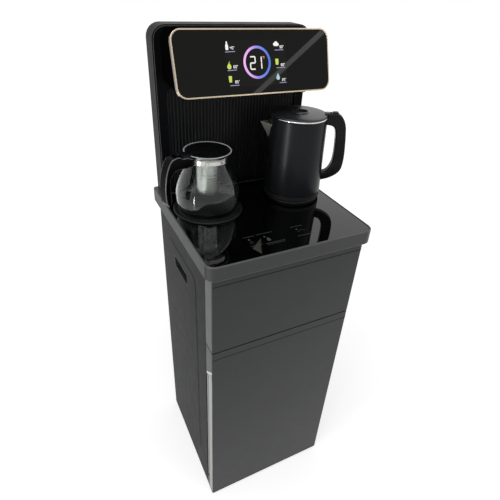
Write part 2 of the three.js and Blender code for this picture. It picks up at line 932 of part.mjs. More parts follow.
function makeBase() {
  const floor = prism(frontOutline(rearY), footHeight, baseTop);
  const plinth = prism(frontOutline(doorRearY), baseTop - 1, doorBottomZ - clearance);
  const rimTop = baseTop + baseRimHeight;
  const wall = baseRimWall;
  const rim = cut(
    block(-innerX, innerX, innerFrontY, innerRearY, baseTop - 1, rimTop),
    block(-innerX + wall, innerX - wall, innerFrontY + wall, innerRearY - wall, baseTop - 2, rimTop + 1),
  );
  const ring = cut(
    rod(0, bayCentreY, bottleRingRadius, baseTop - 1, rimTop, 28),
    rod(0, bayCentreY, bottleRingRadius - bottleRingWall, baseTop - 2, rimTop + 1, 28),
  );
  const bosses = footPlaces.map(([, side, y]) => rod(side * footX, y, 10, baseTop - 1, baseTop + 5, 12));
  const studHoles = footPlaces.map(([, side, y]) =>
    rod(side * footX, y, studRadius + clearance, footHeight - 1, baseTop + 6, 12),
  );
  const pinHole = rod(pivotX, pivotY, hingePinRadius + clearance, footHeight - 1, doorBottomZ + 1, 16);
  place(
    "base_tray",
    cut(join(floor, plinth, rim, ring, ...bosses), ...studHoles, pinHole),
    "blackPlastic",
  );
  const padTop = footHeight - clearance;
  for (const [name, side, y] of footPlaces) {
    const foot = turned(
      [
        [0, 0],
        [footRadius - 2, 0],
        [footRadius, 1.6],
        [footRadius, padTop],
        [studRadius, padTop],
        [studRadius, padTop + studLength],
        [0, padTop + studLength],
      ],
      12,
    );
    place(name, moved(foot, side * footX, y, 0), "rubber");
  }
}

const recessTopZ = worktopHeight - recessTopBelowRim;

function recessOutline(grow) {
  return roundRect(
    recessCentreY - recessLength / 2 - grow,
    recessTopZ - recessHeight - grow,
    recessCentreY + recessLength / 2 + grow,
    recessTopZ + grow,
    recessRadius + grow,
    3,
  );
}

function makeSides() {
  const skin = block(sideX - sheet, sideX, sideFrontY, rearY, baseTop + clearance, cabinetTopZ);
  const flangeX = sideX - sheet - flangeWidth;
  const flanges = [
    [sideFrontY, sideFrontY + sheet],
    [rearFlangeY, rearFlangeY + sheet],
  ].map(([y0, y1]) => block(flangeX, sideX - 1, y0, y1, baseTop + clearance, cabinetTopZ));
  const fieldRing = (inset, x) =>
    roundRect(
      sideFrontY + fieldFrontInset + inset,
      fieldBottom + inset,
      rearY - fieldRearInset - inset,
      worktopHeight - fieldTopBelowRim - inset,
      fieldRadius - inset,
      4,
    ).map(([y, z]) => [x, y, z]);
  const field = loft(
    [fieldRing(0, sideX - 1), fieldRing(0, sideX), fieldRing(fieldBevel, sideX + fieldHeight)],
  );
  const opening = prism(recessOutline(0), sideX - 20, sideX + 5, "yz");
  const panel = cut(join(skin, ...flanges, field), opening);
  place("side_panel_right", panel, "cabinet");
  place("side_panel_left", mirrored(panel), "cabinet");

  const cupOuter = prism(recessOutline(-clearance), sideX - recessDepth, sideX, "yz");
  const flangeOuterX = sideX - sheet - clearance;
  const flange = prism(recessOutline(cupFlange), flangeOuterX - cupWall, flangeOuterX, "yz");
  const cavity = loft(
    [
      [-cupWall - clearance, sideX + 1],
      [-cupWall - clearance - 3, sideX - recessDepth + cupWall],
    ].map(([grow, x]) => recessOutline(grow).map(([y, z]) => [x, y, z])),
  );
  const cup = cut(join(cupOuter, flange), cavity);
  place("handle_cup_right", cup, "blackPlastic");
  place("handle_cup_left", mirrored(cup), "blackPlastic");
}

// Slots across a round grille, each as long as the circle is wide there.
function grilleSlots(cx, cz, radius, count, width) {
  return Array.from({ length: count }, (_, i) => {
    const z = cz + (i - (count - 1) / 2) * ((2 * radius) / count);
    const half = Math.sqrt(Math.max(radius ** 2 - (Math.abs(z - cz) + width / 2) ** 2, 64));
    return prism(
      roundRect(cx - half, z - width / 2, cx + half, z + width / 2, width / 3, 1),
      rearPanelY - 5,
      rearY + 5,
      "xz",
    );
  });
}

const slotRows = (x0, x1, z0, count, pitch, width, y0, y1) =>
  Array.from({ length: count }, (_, i) =>
    prism(roundRect(x0, z0 + i * pitch, x1, z0 + i * pitch + width, width / 3, 1), y0, y1, "xz"),
  );

const bezelWidth = rockerPitch + rockerWidth + 16;
const bezelHeight = rockerHeight + 11;

function makeRear() {
  const flat = block(-innerX, innerX, rearPanelY, rearY, baseTop + clearance, cabinetTopZ);
  const beads = [-1, 1].map((side) =>
    loft(
      [
        [0, rearY - 0.5],
        [1.2, rearY + 1.2],
      ].map(([inset, y]) =>
        roundRect(
          side * 75 - 8 + inset,
          70 + inset,
          side * 75 + 8 - inset,
          490 - inset,
          7.9 - inset,
          3,
        ).map(
          ([x, z]) => [x, y, z],
        ),
      ),
    ),
  );
  const louvres = slotRows(52, 140, 612, 6, 9, 4, rearPanelY - 5, rearY + 5);
  const switchHole = prism(
    roundRect(
      switchX - bezelWidth / 2 + 3,
      switchZ - bezelHeight / 2 + 3,
      switchX + bezelWidth / 2 - 3,
      switchZ + bezelHeight / 2 - 3,
      0,
    ),
    rearPanelY - 5,
    rearY + 5,
    "xz",
  );
  const glandHole = prism(
    circle(glandX, glandZ, glandRadius + clearance, 16),
    rearPanelY - 5,
    rearY + 5,
    "xz",
  );
  const panel = cut(
    join(flat, ...beads),
    ...grilleSlots(fanX, fanZ, fanBore - 2, 9, 4.5),
    ...louvres,
    switchHole,
    glandHole,
  );
  place("rear_panel", panel, "cabinet");
}

function makeShelf() {
  const deck = block(-innerX, innerX, innerFrontY, innerRearY, shelfBottomZ, shelfTopZ);
  const turnDown = [
    block(-innerX, -innerX + sheet, innerFrontY, innerRearY, shelfBottomZ - shelfFlange, shelfTopZ),
    block(innerX - sheet, innerX, innerFrontY, innerRearY, shelfBottomZ - shelfFlange, shelfTopZ),
    block(-innerX, innerX, innerFrontY, innerFrontY + sheet, shelfBottomZ - shelfFlange, shelfTopZ),
  ];
  const hosePass = rod(hoseX, hoseY, hoseRadius + clearance, shelfBottomZ - 5, shelfTopZ + 5, 16);
  place("bay_shelf", cut(join(deck, ...turnDown), hosePass), "cabinet");

  const magnet = softPrism(
    roundRect(
      -sideX + 30,
      shelfBottomZ - catchHeight,
      -sideX + 30 + catchWidth,
      shelfBottomZ - 1,
      1.5,
      2,
    ),
    doorRearY + clearance,
    innerFrontY - clearance,
    0.6,
    "xz",
    1,
  );
  place("catch_magnet", magnet, "whitePlastic");
}

function makeFascia() {
  const outer = prism(frontOutline(fasciaRearY), fasciaBottomZ, cabinetTopZ);
  const hollow = block(
    -sideX + frontWall,
    sideX - frontWall,
    frontY + frontWall,
    fasciaRearY + 1,
    fasciaBottomZ + frontWall,
    cabinetTopZ - frontWall,
  );
  const boss = block(
    pivotX - 10,
    sideX - 1,
    pivotY - 10,
    fasciaRearY,
    fasciaBottomZ + 1,
    fasciaBottomZ + hingePinHold + 2,
  );
  const ribs = [-80, 0, 80].map((x) =>
    block(x - 1, x + 1, frontY + 1, fasciaRearY - 8, fasciaBottomZ + 1, cabinetTopZ - 1),
  );
  const pinHole = rod(
    pivotX,
    pivotY,
    hingePinRadius + clearance,
    fasciaBottomZ - 1,
    fasciaBottomZ + hingePinHold + clearance,
    16,
  );
  place("front_fascia", cut(join(cut(outer, hollow), boss, ...ribs), pinHole), "cabinet");
}

function hingePin(z0, z1) {
  const r = hingePinRadius;
  return moved(
    turned([[0, z0], [r - 0.8, z0], [r, z0 + 0.8], [r, z1 - 0.8], [r - 0.8, z1], [0, z1]], 16),
    pivotX,
    pivotY,
    0,
  );
}

function makeHingePins() {
  place("hinge_pin_bottom", hingePin(footHeight + clearance, doorBottomZ + hingePinReach), "steel");
  place("hinge_pin_top", hingePin(doorTopZ - hingePinReach, fasciaBottomZ + hingePinHold), "steel");
}

// ---------------------------------------------------------------- door

// Seen from above: square at the grip side, rounded about the pivot on the hinge side.
const doorOutline = [
  [-sideX, doorRearY],
  ...arc(-sideX + cornerRadius, frontY + cornerRadius, cornerRadius, 180, 270, 4),
  ...arc(sideX - cornerRadius, frontY + cornerRadius, cornerRadius, 270, 360, 4),
  ...arc(pivotX, pivotY, hingeEdgeRadius, 0, 90, 6),
];

const stripFrontY = frontY + stripFrontInset;
const stripRearY = doorRearY - gripWidth - 1.6;

// The long finger channel in the rear corner of the free edge, running out at its upper end.
function gripChannel() {
  const outside = -sideX - 1;
  const near = doorRearY - gripWidth - 0.2;
  const far = doorRearY + 1;
  const lip = -sideX + 4.4;
  const deep = -sideX + gripDepth;
  return new ConvexGeometry([
    new THREE.Vector3(outside, near, gripBottom),
    new THREE.Vector3(lip, near + 0.4, gripBottom),
    new THREE.Vector3(deep, far, gripBottom),
    new THREE.Vector3(outside, far, gripBottom),
    new THREE.Vector3(outside, near, gripTop + gripRunOut),
    new THREE.Vector3(lip, near + 0.4, gripTop),
    new THREE.Vector3(deep, far, gripTop),
    new THREE.Vector3(outside, far, gripTop + gripRunOut),
  ]);
}

function makeDoor() {
  const pinHole = rod(
    pivotX,
    pivotY,
    hingePinRadius + clearance,
    doorBottomZ - 1,
    doorBottomZ + hingePinReach + runningGap,
    16,
  );
  const x0 = -sideX + gripStile;
  const x1 = sideX - hingeStile;
  const skinY = frontY + frontWall;
  const panelTop = doorTrimBottomZ - clearance;
  const pocket = block(x0, x1, skinY, doorRearY + 1, doorBottomZ + frontWall, panelTop - frontWall);
  const rebate = block(
    -sideX - 1,
    -sideX + stripThickness + clearance,
    stripFrontY - clearance,
    stripRearY + clearance,
    doorBottomZ - 1,
    stripTop + clearance,
  );
  const panel = cut(prism(doorOutline, doorBottomZ, panelTop), pocket, gripChannel(), rebate, pinHole);
  place("door_panel", panel, "cabinet");

  const strip = softPrism(
    roundRect(stripFrontY, doorBottomZ, stripRearY, stripTop, [0, 0, 1.5, 1.5], 3),
    -sideX,
    -sideX + stripThickness,
    0.4,
    "yz",
    1,
  );
  place("door_grip_strip", strip, "palePlastic");

  const gap = clearance;
  const z0 = doorBottomZ + frontWall + gap;
  const z1 = panelTop - frontWall - gap;
  const border = linerBorder;
  const t = linerThickness;
  const dishBack = doorRearY - linerDish - t;
  const flange = block(x0 + gap, x1 - gap, doorRearY - t, doorRearY, z0, z1);
  const dishOuter = prism(
    roundRect(x0 + border - t, z0 + border - t, x1 - border + t, z1 - border + t, 12 + t, 3),
    dishBack,
    doorRearY,
    "xz",
  );
  const dishInner = prism(
    roundRect(x0 + border, z0 + border, x1 - border, z1 - border, 12, 3),
    dishBack + t,
    doorRearY + 1,
    "xz",
  );
  const ribStep = (z1 - z0 - 2 * border) / (linerRibCount + 1);
  const ribs = Array.from({ length: linerRibCount }, (_, i) => {
    const z = z0 + border + (i + 1) * ribStep;
    return block(
      x0 + border + 18,
      x1 - border - 18,
      dishBack + t / 2,
      dishBack + t + linerRib,
      z - 2,
      z + 2,
    );
  });
  place("door_liner", join(cut(join(flange, dishOuter), dishInner), ...ribs), "greyPlastic");

  const hollow = block(
    -sideX + frontWall,
    x1,
    skinY,
    doorRearY - frontWall,
    doorTrimBottomZ - 1,
    doorTopZ - frontWall,
  );
  const topHole = rod(
    pivotX,
    pivotY,
    hingePinRadius + clearance,
    doorTopZ - hingePinReach - runningGap,
    doorTopZ + 1,
    16,
  );
  place("door_top_trim", cut(prism(doorOutline, doorTrimBottomZ, doorTopZ), hollow, topHole), "cabinet");
}

// ---------------------------------------------------------------- worktop

const trayOutline = (inset) =>
  roundRect(
    -trayWidth / 2 + inset,
    trayFrontY + inset,
    trayWidth / 2 - inset,
    trayRearY - inset,
    [trayFrontRadius, trayFrontRadius, trayRearRadius, trayRearRadius].map((r) => Math.max(r - inset, 1)),
    4,
  );

const glassRearY = towerFrontY - clearance;

const glassOutline = (inset) =>
  roundRect(
    -trayWidth / 2 + rimWidth + inset,
    trayFrontY + rimWidth + inset,
    trayWidth / 2 - rimWidth - inset,
    glassRearY - inset,
    [trayFrontRadius, trayFrontRadius, 4, 4].map((r) => Math.max(r - rimWidth - inset, 2)),
    4,
  );

const wiringHoles = (z0, z1) =>
  [-1, 1].map(
    (side) => rod(side * wiringHoleX, trayRearY - towerDepth / 2, wiringHoleRadius, z0, z1, 16),
  );

function makeWorktop() {
  const bottom = worktopHeight - skirtHeight;
  const body = softPrism(trayOutline(0), bottom, worktopHeight, 1.2, "xy", 1);
  const underside = prism(trayOutline(skirtWall), bottom - 1, trayUndersideZ);
  const glassPocket = prism(glassOutline(0), ledgeZ, worktopHeight + 1);
  const tray = cut(body, underside, glassPocket, ...wiringHoles(trayUndersideZ - 5, worktopHeight + 5));
  place("worktop_tray", tray, "cabinet");

  const glass = cut(
    softPrism(glassOutline(clearance), ledgeZ + clearance, glassTopZ, 0.6, "xy", 1),
    rod(jugX, applianceY, plateSeatRadius + clearance, ledgeZ - 1, glassTopZ + 1, 32),
    rod(kettleX, applianceY, powerBaseSeatRadius + clearance, ledgeZ - 1, glassTopZ + 1, 24),
  );
  place("worktop_glass", glass, "blackGlass");
}

function makeAppliances() {
  const seat = ledgeZ + clearance;
  const flangeZ = glassTopZ + clearance;
  const plateTop = flangeZ + plateRise;
  const plate = turned(
    [
      [0, seat],
      [plateSeatRadius, seat],
      [plateSeatRadius, flangeZ],
      [plateRadius, flangeZ],
      [plateRadius, plateTop - 1.2],
      [plateRadius - 1.2, plateTop],
      [0, plateTop],
    ],
    32,
  );
  place("warming_plate", moved(plate, jugX, applianceY, 0), "satinBlack");

  const baseTopZ = flangeZ + powerBaseRise;
  const base = turned(
    [
      [connectorSeatRadius, seat],
      [powerBaseSeatRadius, seat],
      [powerBaseSeatRadius, flangeZ],
      [powerBaseRadius, flangeZ],
      [powerBaseRadius, baseTopZ - 1.5],
      [powerBaseRadius - 1.5, baseTopZ],
      [connectorSeatRadius, baseTopZ],
    ],
    24,
  );
  place("power_base", moved(base, kettleX, applianceY, 0), "blackPlastic");

  const top = baseTopZ + connectorRise;
  const r = connectorRadius;
  const connector = turned(
    [
      [0, seat],
      [connectorSeatRadius - clearance, seat],
      [connectorSeatRadius - clearance, baseTopZ - 1],
      [r, baseTopZ - 1],
      [r - 1, top],
      [r - 3.5, top],
      [r - 3.5, top - 3],
      [r - 6, top - 3],
      [r - 6, top],
      [0, top],
    ],
    16,
  );
  place("power_connector", moved(connector, kettleX, applianceY, 0), "greyPlastic");
}

// ---------------------------------------------------------------- tower

const towerOutline = (inset, bottom) =>
  roundRect(
    -towerWidth / 2 + inset,
    bottom,
    towerWidth / 2 - inset,
    towerTopZ - inset,
    [0, 0, towerCorner - inset, towerCorner - inset],
    6,
  );

const ribbedBottomZ = worktopHeight + ribbedBottom;

const ribbedOutline = (inset) =>
  roundRect(
    -ribbedWidth / 2 + inset,
    ribbedBottomZ + inset,
    ribbedWidth / 2 - inset,
    ribbedBottomZ + ribbedHeight - inset,
    [2, 2, ribbedRadius, ribbedRadius],
    5,
  );

function makeTower() {
  const coverY = trayRearY - towerCover;
  const shellRearY = coverY - clearance;
  const shell = softPrism(towerOutline(0, towerBaseZ), towerFrontY, shellRearY, towerEdge, "xz", 1);
  const seatY = towerFrontY + ribbedRecess + ribHeight + ribbedPlate + clearance;
  const hollow = prism(
    towerOutline(towerWall, towerBaseZ + towerWall),
    seatY + towerWall,
    shellRearY + 1,
    "xz",
  );
  const recess = prism(ribbedOutline(0), towerFrontY - 1, seatY, "xz");
  const headZ = faceBottomZ + faceHeight / 2;
  const cable = prism(circle(0, headZ, headCableRadius, 16), towerFrontY - 1, shellRearY, "xz");
  const frontHollow = prism(
    roundRect(
      -ribbedWidth / 2,
      ribbedBottomZ + ribbedHeight + towerWall,
      ribbedWidth / 2,
      towerTopZ - 12,
      8,
    ),
    towerFrontY + towerWall,
    shellRearY,
    "xz",
  );
  const parts = [hollow, recess, cable, frontHollow, ...wiringHoles(towerBaseZ - 5, towerBaseZ + 20)];
  place("tower_shell", cut(shell, ...parts), "satinBlack");

  const vents = slotRows(-60, 60, towerTopZ - 90, 5, 9, 4, coverY - 5, trayRearY + 5);
  const cover = softPrism(towerOutline(towerEdge, towerBaseZ + 1), coverY, trayRearY, 0.8, "xz", 1);
  place("tower_back_cover", cut(cover, ...vents), "satinBlack");

  // The ribs run upright; their section repeats across the panel.
  const crest = towerFrontY + ribbedRecess;
  const root = crest + ribHeight;
  const half = ribbedWidth / 2 - clearance;
  const ribCount = Math.floor((2 * half - 4) / ribPitch);
  const first = (-ribCount * ribPitch) / 2;
  const section = [[-half, root + ribbedPlate], [-half, root]];
  for (let i = 0; i < ribCount; i++) {
    const x = first + i * ribPitch;
    section.push(
      [x + 0.8, root],
      [x + 2.2, crest],
      [x + ribPitch - 2.2, crest],
      [x + ribPitch - 0.8, root],
    );
  }
  section.push([half, root], [half, root + ribbedPlate]);
  const ribbed = prism(section, ribbedBottomZ, ribbedBottomZ + ribbedHeight);
  const bounds = prism(ribbedOutline(clearance), towerFrontY - 5, seatY + 5, "xz");
  place("ribbed_panel", common(ribbed, bounds), "blackPlastic");
}

// ---------------------------------------------------------------- display head

const tilt = radians(faceTilt);
const facePlane = new THREE.Matrix4()
  .makeBasis(
    new THREE.Vector3(1, 0, 0),
    new THREE.Vector3(0, Math.sin(tilt), Math.cos(tilt)),
    new THREE.Vector3(0, -Math.cos(tilt), Math.sin(tilt)),
  )
  .setPosition(0, faceBottomY, faceBottomZ);

// Pieces drawn flat on the face: x across, y up along it, z out of it.
const onFace = (geometry) => geometry.applyMatrix4(facePlane);

const faceOutline = (inset) =>
  roundRect(
    -headWidth / 2 + inset,
    inset,
    headWidth / 2 - inset,
    faceHeight - inset,
    faceRadius - inset,
    5,
  );

const faceRing = (inset, depth) =>
  faceOutline(inset).map(([x, y]) => new THREE.Vector3(x, y, depth).applyMatrix4(facePlane).toArray());

function headRearRing(inset, y) {
  const bottom = worktopHeight + headRearBottomAboveRim;
  return roundRect(
    -headRearWidth / 2 + inset,
    bottom + inset,
    headRearWidth / 2 - inset,
    bottom + headRearHeight - inset,
    faceRadius - inset,
    5,
  ).map(([x, z]) => [x, y, z]);
}

function makeHead() {
  const ring = cut(
    new THREE.ExtrudeGeometry(shapeOf(faceOutline(0)), { depth: trimDepth, bevelEnabled: false }),
    new THREE.ExtrudeGeometry(
      shapeOf(faceOutline(trimWidth)),
      { depth: trimDepth + 2, bevelEnabled: false },
    ).translate(
      0,
      0,
      -1,
    ),
  );
  place("head_trim", onFace(ring.translate(0, 0, -trimDepth)), "roseGold");

  const glass = new THREE.ExtrudeGeometry(shapeOf(faceOutline(trimWidth + clearance)), {
    depth: faceGlass,
    bevelEnabled: false,
  });
  place("head_glass", onFace(glass.translate(0, 0, -clearance - faceGlass)), "blackGlass");

  const screenTop = -2 * clearance - faceGlass;
  const boardTop = screenTop - screenDepth;
  const middle = faceHeight / 2;
  const board = onFace(
    join(
      block(
        -screenWidth / 2,
        screenWidth / 2,
        middle - screenHeight / 2,
        middle + screenHeight / 2,
        boardTop - 0.5,
        screenTop,
      ),
      block(
        -boardWidth / 2,
        boardWidth / 2,
        middle - boardHeight / 2,
        middle + boardHeight / 2,
        boardTop - boardThickness,
        boardTop,
      ),
    ),
  );
  place("display_board", board, "circuit");

  const rear = towerFrontY - clearance;
  const frontDepth = -trimDepth - clearance;
  const outer = loft([faceRing(1, frontDepth), headRearRing(0, rear)]);
  const inner = loft([faceRing(1 + headWall, frontDepth + 3), headRearRing(headWall, rear - headWall)]);
  const middleZ = faceBottomZ + faceHeight / 2;
  const cable = prism(circle(0, middleZ, headCableRadius, 16), rear - 2 * headWall, rear + 1, "xz");
  const spoutHole = rod(
    kettleX,
    applianceY,
    nozzleRadius + clearance,
    faceBottomZ - 20,
    faceBottomZ + 12,
    16,
  );
  place("head_housing", cut(outer, inner, cable, spoutHole), "blackPlastic");

  const top = faceBottomZ + 10;
  const low = faceBottomZ - nozzleDrop;
  const nozzle = turned(
    [
      [nozzleBore, low],
      [nozzleRadius - 2, low],
      [nozzleRadius, low + 4],
      [nozzleRadius, top],
      [nozzleBore, top],
    ],
    16,
  );
  place("kettle_nozzle", moved(nozzle, kettleX, applianceY, 0), "blackPlastic");
}

// ---------------------------------------------------------------- machine compartment

// A fan blade: curved sections from hub to tip, less pitched towards the tip.
function fanBlade(index) {
  const sections = [
    [fanHub - 2, 15, 46],
    [29, 18, 34],
    [fanBore - 2, 20, 24],
  ];
  const rings = sections.map(([radius, chord, pitch]) => {
    const across = [-0.5, 0, 0.5];
    const outline = [
      ...across.map((s) => [s * chord, 0.8 - 6 * s * s]),
      ...across.reverse().map((s) => [s * chord, -0.8 - 6 * s * s]),
    ];
    const c = Math.cos(radians(pitch));
    const s = Math.sin(radians(pitch));
    return outline.map(([u, v]) => [u * c - v * s, u * s + v * c, radius]);
  });
  return loft(rings).rotateY((index * 2 * Math.PI) / fanBlades);
}

function makeFan() {
  const rear = rearPanelY - clearance;
  const front = rear - fanDepth;
  const half = fanSize / 2;
  const discY = rear - 4;
  const frame = cut(
    prism(roundRect(-half, -half, half, half, 4, 2), front, rear, "xz"),
    prism(circle(0, 0, fanBore, 28), front - 1, rear + 1, "xz"),
    ...[-1, 1].flatMap((sx) =>
      [-1, 1].map(
        (sz) => prism(circle(sx * (half - 5), sz * (half - 5), 2.2, 6), front - 1, rear + 1, "xz"),
      ),
    ),
  );
  const motor = prism(circle(0, 0, fanHub - 1, 16), discY, rear, "xz");
  const pin = prism(circle(0, 0, fanPin, 10), front + 8, discY + 1, "xz");
  const struts = [0, 90].map((angle) =>
    block(-fanBore - 1, fanBore + 1, discY + 1, rear, -1.5, 1.5).rotateY(radians(angle + 45)),
  );
  place("fan_frame", moved(join(frame, motor, pin, ...struts), fanX, 0, fanZ), "blackPlastic");

  const hubRear = discY - runningGap;
  const hubFront = front + 2;
  const hub = cut(
    prism(circle(0, 0, fanHub, 20), hubFront, hubRear, "xz"),
    prism(circle(0, 0, fanPin + clearance, 12), hubFront + 3, hubRear + 1, "xz"),
  );
  const middle = (hubFront + hubRear) / 2;
  const blades = Array.from({ length: fanBlades }, (_, i) => moved(fanBlade(i), 0, middle, 0));
  place("fan_rotor", moved(join(hub, ...blades), fanX, 0, fanZ), "satinBlack");
  return front;
}

function makeCooling(fanFrontY) {
  const finRear = fanFrontY - clearance;
  const plateRear = finRear - finDepth;
  const plateFront = plateRear - sinkPlate;
  const halfWidth = ((finCount - 1) * finPitch) / 2 + finThickness / 2;
  const z0 = fanZ - sinkHeight / 2;
  const z1 = fanZ + sinkHeight / 2;
  const fins = Array.from({ length: finCount }, (_, i) => {
    const x = fanX + (i - (finCount - 1) / 2) * finPitch;
    return block(x - finThickness / 2, x + finThickness / 2, plateRear - 1, finRear, z0, z1);
  });
  const sink = join(block(fanX - halfWidth, fanX + halfWidth, plateFront, plateRear, z0, z1), ...fins);
  place("heat_sink", sink, "aluminium");

  const tankY = plateFront - clearance - tankRadius;
  const bottom = shelfTopZ + clearance;
  const top = bottom + tankHeight;
  const tank = turned(
    [
      [0, bottom],
      [tankRadius - 4, bottom],
      [tankRadius, bottom + 4],
      [tankRadius, top - 10],
      [tankRadius - 3, top - 4],
      [tankRadius - 10, top],
      [6, top],
      [6, top + 12],
      [0, top + 12],
    ],
    24,
  );
  place("cold_tank", moved(tank, fanX, tankY, 0), "whitePlastic");
}

function makePump() {
  const bottom = shelfTopZ + clearance;
  const axisZ = bottom + pumpRadius + 6;
  const headY = hoseY + 12;
  const motor = prism(circle(hoseX, axisZ, pumpRadius, 24), headY - 30 - pumpLength, headY - 30, "xz");
  const head = softPrism(
    roundRect(hoseX - 21, bottom + 3, hoseX + 21, axisZ + pumpRadius + 3, 8, 3),
    headY - 31,
    headY,
    1.5,
    "xz",
    1,
  );
  const foot = block(hoseX - 24, hoseX + 24, headY - 70, headY - 6, bottom, bottom + 4);
  const saddle = block(hoseX - 12, hoseX + 12, headY - 66, headY - 34, bottom, axisZ);
  const outlet = rod(hoseX, headY - 14, 4, axisZ, axisZ + pumpRadius + 16, 14);
  const inlet = rod(hoseX, hoseY, hoseRadius + 3, bottom - 0, bottom + 8, 14);
  place("lift_pump", join(motor, head, foot, saddle, outlet, inlet), "whitePlastic");
  return bottom;
}

function makeSuction(pumpBottom) {
  const capBottom = capShelfZ + 3 + clearance;
  const capTop = capBottom + capHeight;
  const pipeTop = capTop + 8;
  const hose = rod(hoseX, hoseY, hoseRadius, pipeTop + clearance, pumpBottom - clearance, 12);
  place("supply_hose", hose, "silicone");

  const cap = turned(
    [
      [pipeRadius + clearance, capTop - capWall],
      [capRadius - capWall - 4, capTop - capWall],
      [capRadius - capWall, capTop - capWall - 4],
      [capRadius - capWall, capBottom],
      [capRadius, capBottom],
      [capRadius, capTop - 4],
      [capRadius - 4, capTop],
      [hoseRadius + 3, capTop],
      [hoseRadius + 2, capTop + 5],
      [pipeRadius + clearance, capTop + 5],
    ],
    20,
  );
  place("bottle_cap", moved(cap, hoseX, hoseY, 0), "whitePlastic");

  const strainer = rod(hoseX, hoseY, pipeRadius + 4, pipeBottomZ, pipeBottomZ + 16, 14);
  const pipe = rod(hoseX, hoseY, pipeRadius, pipeBottomZ + 10, pipeTop, 14);
  place("suction_pipe", join(strainer, pipe), "steel");

  const wallY = rearPanelY - clearance;
  const right = hoseX + 20;
  const left = hoseX - 24;
  const arm = block(left, right, hoseY - 20, rearFlangeY - 1, capShelfZ, capShelfZ + 3);
  const tab = block(
    left,
    sideX - sheet - flangeWidth - 1,
    rearFlangeY - 4,
    wallY,
    capShelfZ - 22,
    capShelfZ + 3,
  );
  const gusset = block(left, left + 3, hoseY - 10, rearFlangeY - 2, capShelfZ - 18, capShelfZ + 1);
  const pass = rod(hoseX, hoseY, pipeRadius + 2, capShelfZ - 5, capShelfZ + 8, 14);
  place("hose_bracket", cut(join(arm, tab, gusset), pass), "greyPlastic");
}

function makeControlBoard() {
  const bottom = shelfTopZ + clearance;
  const [x0, x1, y0, y1] = [-10, 118, -104, -14];
  const deck = bottom + 9;
  const posts = [x0 + 6, x1 - 6].flatMap(
    (x) => [y0 + 6, y1 - 6].map((y) => rod(x, y, 3, bottom, deck + 1, 8)),
  );
  const transformer = block(x0 + 16, x0 + 52, y0 + 14, y0 + 48, deck, deck + 30);
  const relays = [0, 1, 2].map(
    (i) => block(x0 + 64 + i * 19, x0 + 78 + i * 19, y0 + 14, y0 + 34, deck, deck + 17),
  );
  const capacitors = [0, 1].map((i) => rod(x0 + 70 + i * 22, y1 - 24, 8, deck, deck + 26, 14));
  const cooler = block(x0 + 14, x0 + 50, y1 - 26, y1 - 22, deck, deck + 26);
  const board = block(x0, x1, y0, y1, deck, deck + 1.8);
  place("control_board", join(board, ...posts, transformer, ...relays, ...capacitors, cooler), "circuit");
}

// ---------------------------------------------------------------- rear switches and cord gland

const rockerPivotY = rearY - 0.6;
const rockerXs = [switchX - rockerPitch / 2, switchX + rockerPitch / 2];

function makeSwitches() {
  const plateY = rearY + clearance;
  const plateTopY = plateY + 1.8;
  const w = bezelWidth / 2;
  const h = bezelHeight / 2;
  const plate = softPrism(
    roundRect(switchX - w, switchZ - h, switchX + w, switchZ + h, 3, 3),
    plateY,
    plateTopY,
    0.5,
    "xz",
    1,
  );
  const inset = 3 + clearance;
  const depth = 14;
  const body = block(
    switchX - w + inset,
    switchX + w - inset,
    plateTopY - depth,
    plateY + 1,
    switchZ - h + inset,
    switchZ + h - inset,
  );
  const pockets = rockerXs.map((x) =>
    block(
      x - rockerWidth / 2 - runningGap,
      x + rockerWidth / 2 + runningGap,
      plateTopY - depth + 2,
      plateTopY + 1,
      switchZ - rockerHeight / 2 - 1,
      switchZ + rockerHeight / 2 + 1,
    ),
  );
  const axle = prism(
    circle(rockerPivotY, switchZ, 1.2, 8),
    switchX - w + inset + 1,
    switchX + w - inset - 1,
    "yz",
  );
  place("switch_bezel", join(cut(join(plate, body), ...pockets), axle), "blackPlastic");

  const half = rockerHeight / 2;
  const section = [
    [-3.5, -half + 3],
    [0, -half],
    [3.6, -half + 0.3],
    [2.4, 0],
    [3.6, half - 0.3],
    [0, half],
    [-3.5, half - 3],
  ];
  rockerXs.forEach((x, i) => {
    const body = cut(
      prism(section, -rockerWidth / 2, rockerWidth / 2, "yz"),
      prism(circle(0, 0, 1.2 + clearance, 10), -rockerWidth, rockerWidth, "yz"),
    ).rotateX(radians(rockerTilt));
    place(["cold_switch", "heat_switch"][i], moved(body, x, rockerPivotY, switchZ), "whitePlastic");
  });
}

function makeGland() {
  const inside = rearPanelY - clearance;
  const outside = rearY + clearance;
  const gland = turned(
    [
      [glandBore, inside - 3],
      [glandFlange - 1, inside - 3],
      [glandFlange - 1, inside],
      [glandRadius, inside],
      [glandRadius, outside],
      [glandFlange, outside],
      [glandFlange, outside + 2],
      [glandBore + 2, outside + 4],
      [glandBore, outside + 4],
    ],
    16,
  ).applyMatrix4(new THREE.Matrix4().makeRotationX(-Math.PI / 2));
  place("cord_gland", moved(gland, glandX, 0, glandZ), "rubber");
}

makeBase();
makeSides();
makeRear();
makeShelf();
makeFascia();
makeHingePins();
makeDoor();
makeWorktop();
makeAppliances();
makeTower();
makeHead();
makeCooling(makeFan());
makeSuction(makePump());
makeControlBoard();
makeSwitches();
makeGland();

export default machine;
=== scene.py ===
import json
import math
import bmesh
import bpy
from mathutils import Matrix, Vector


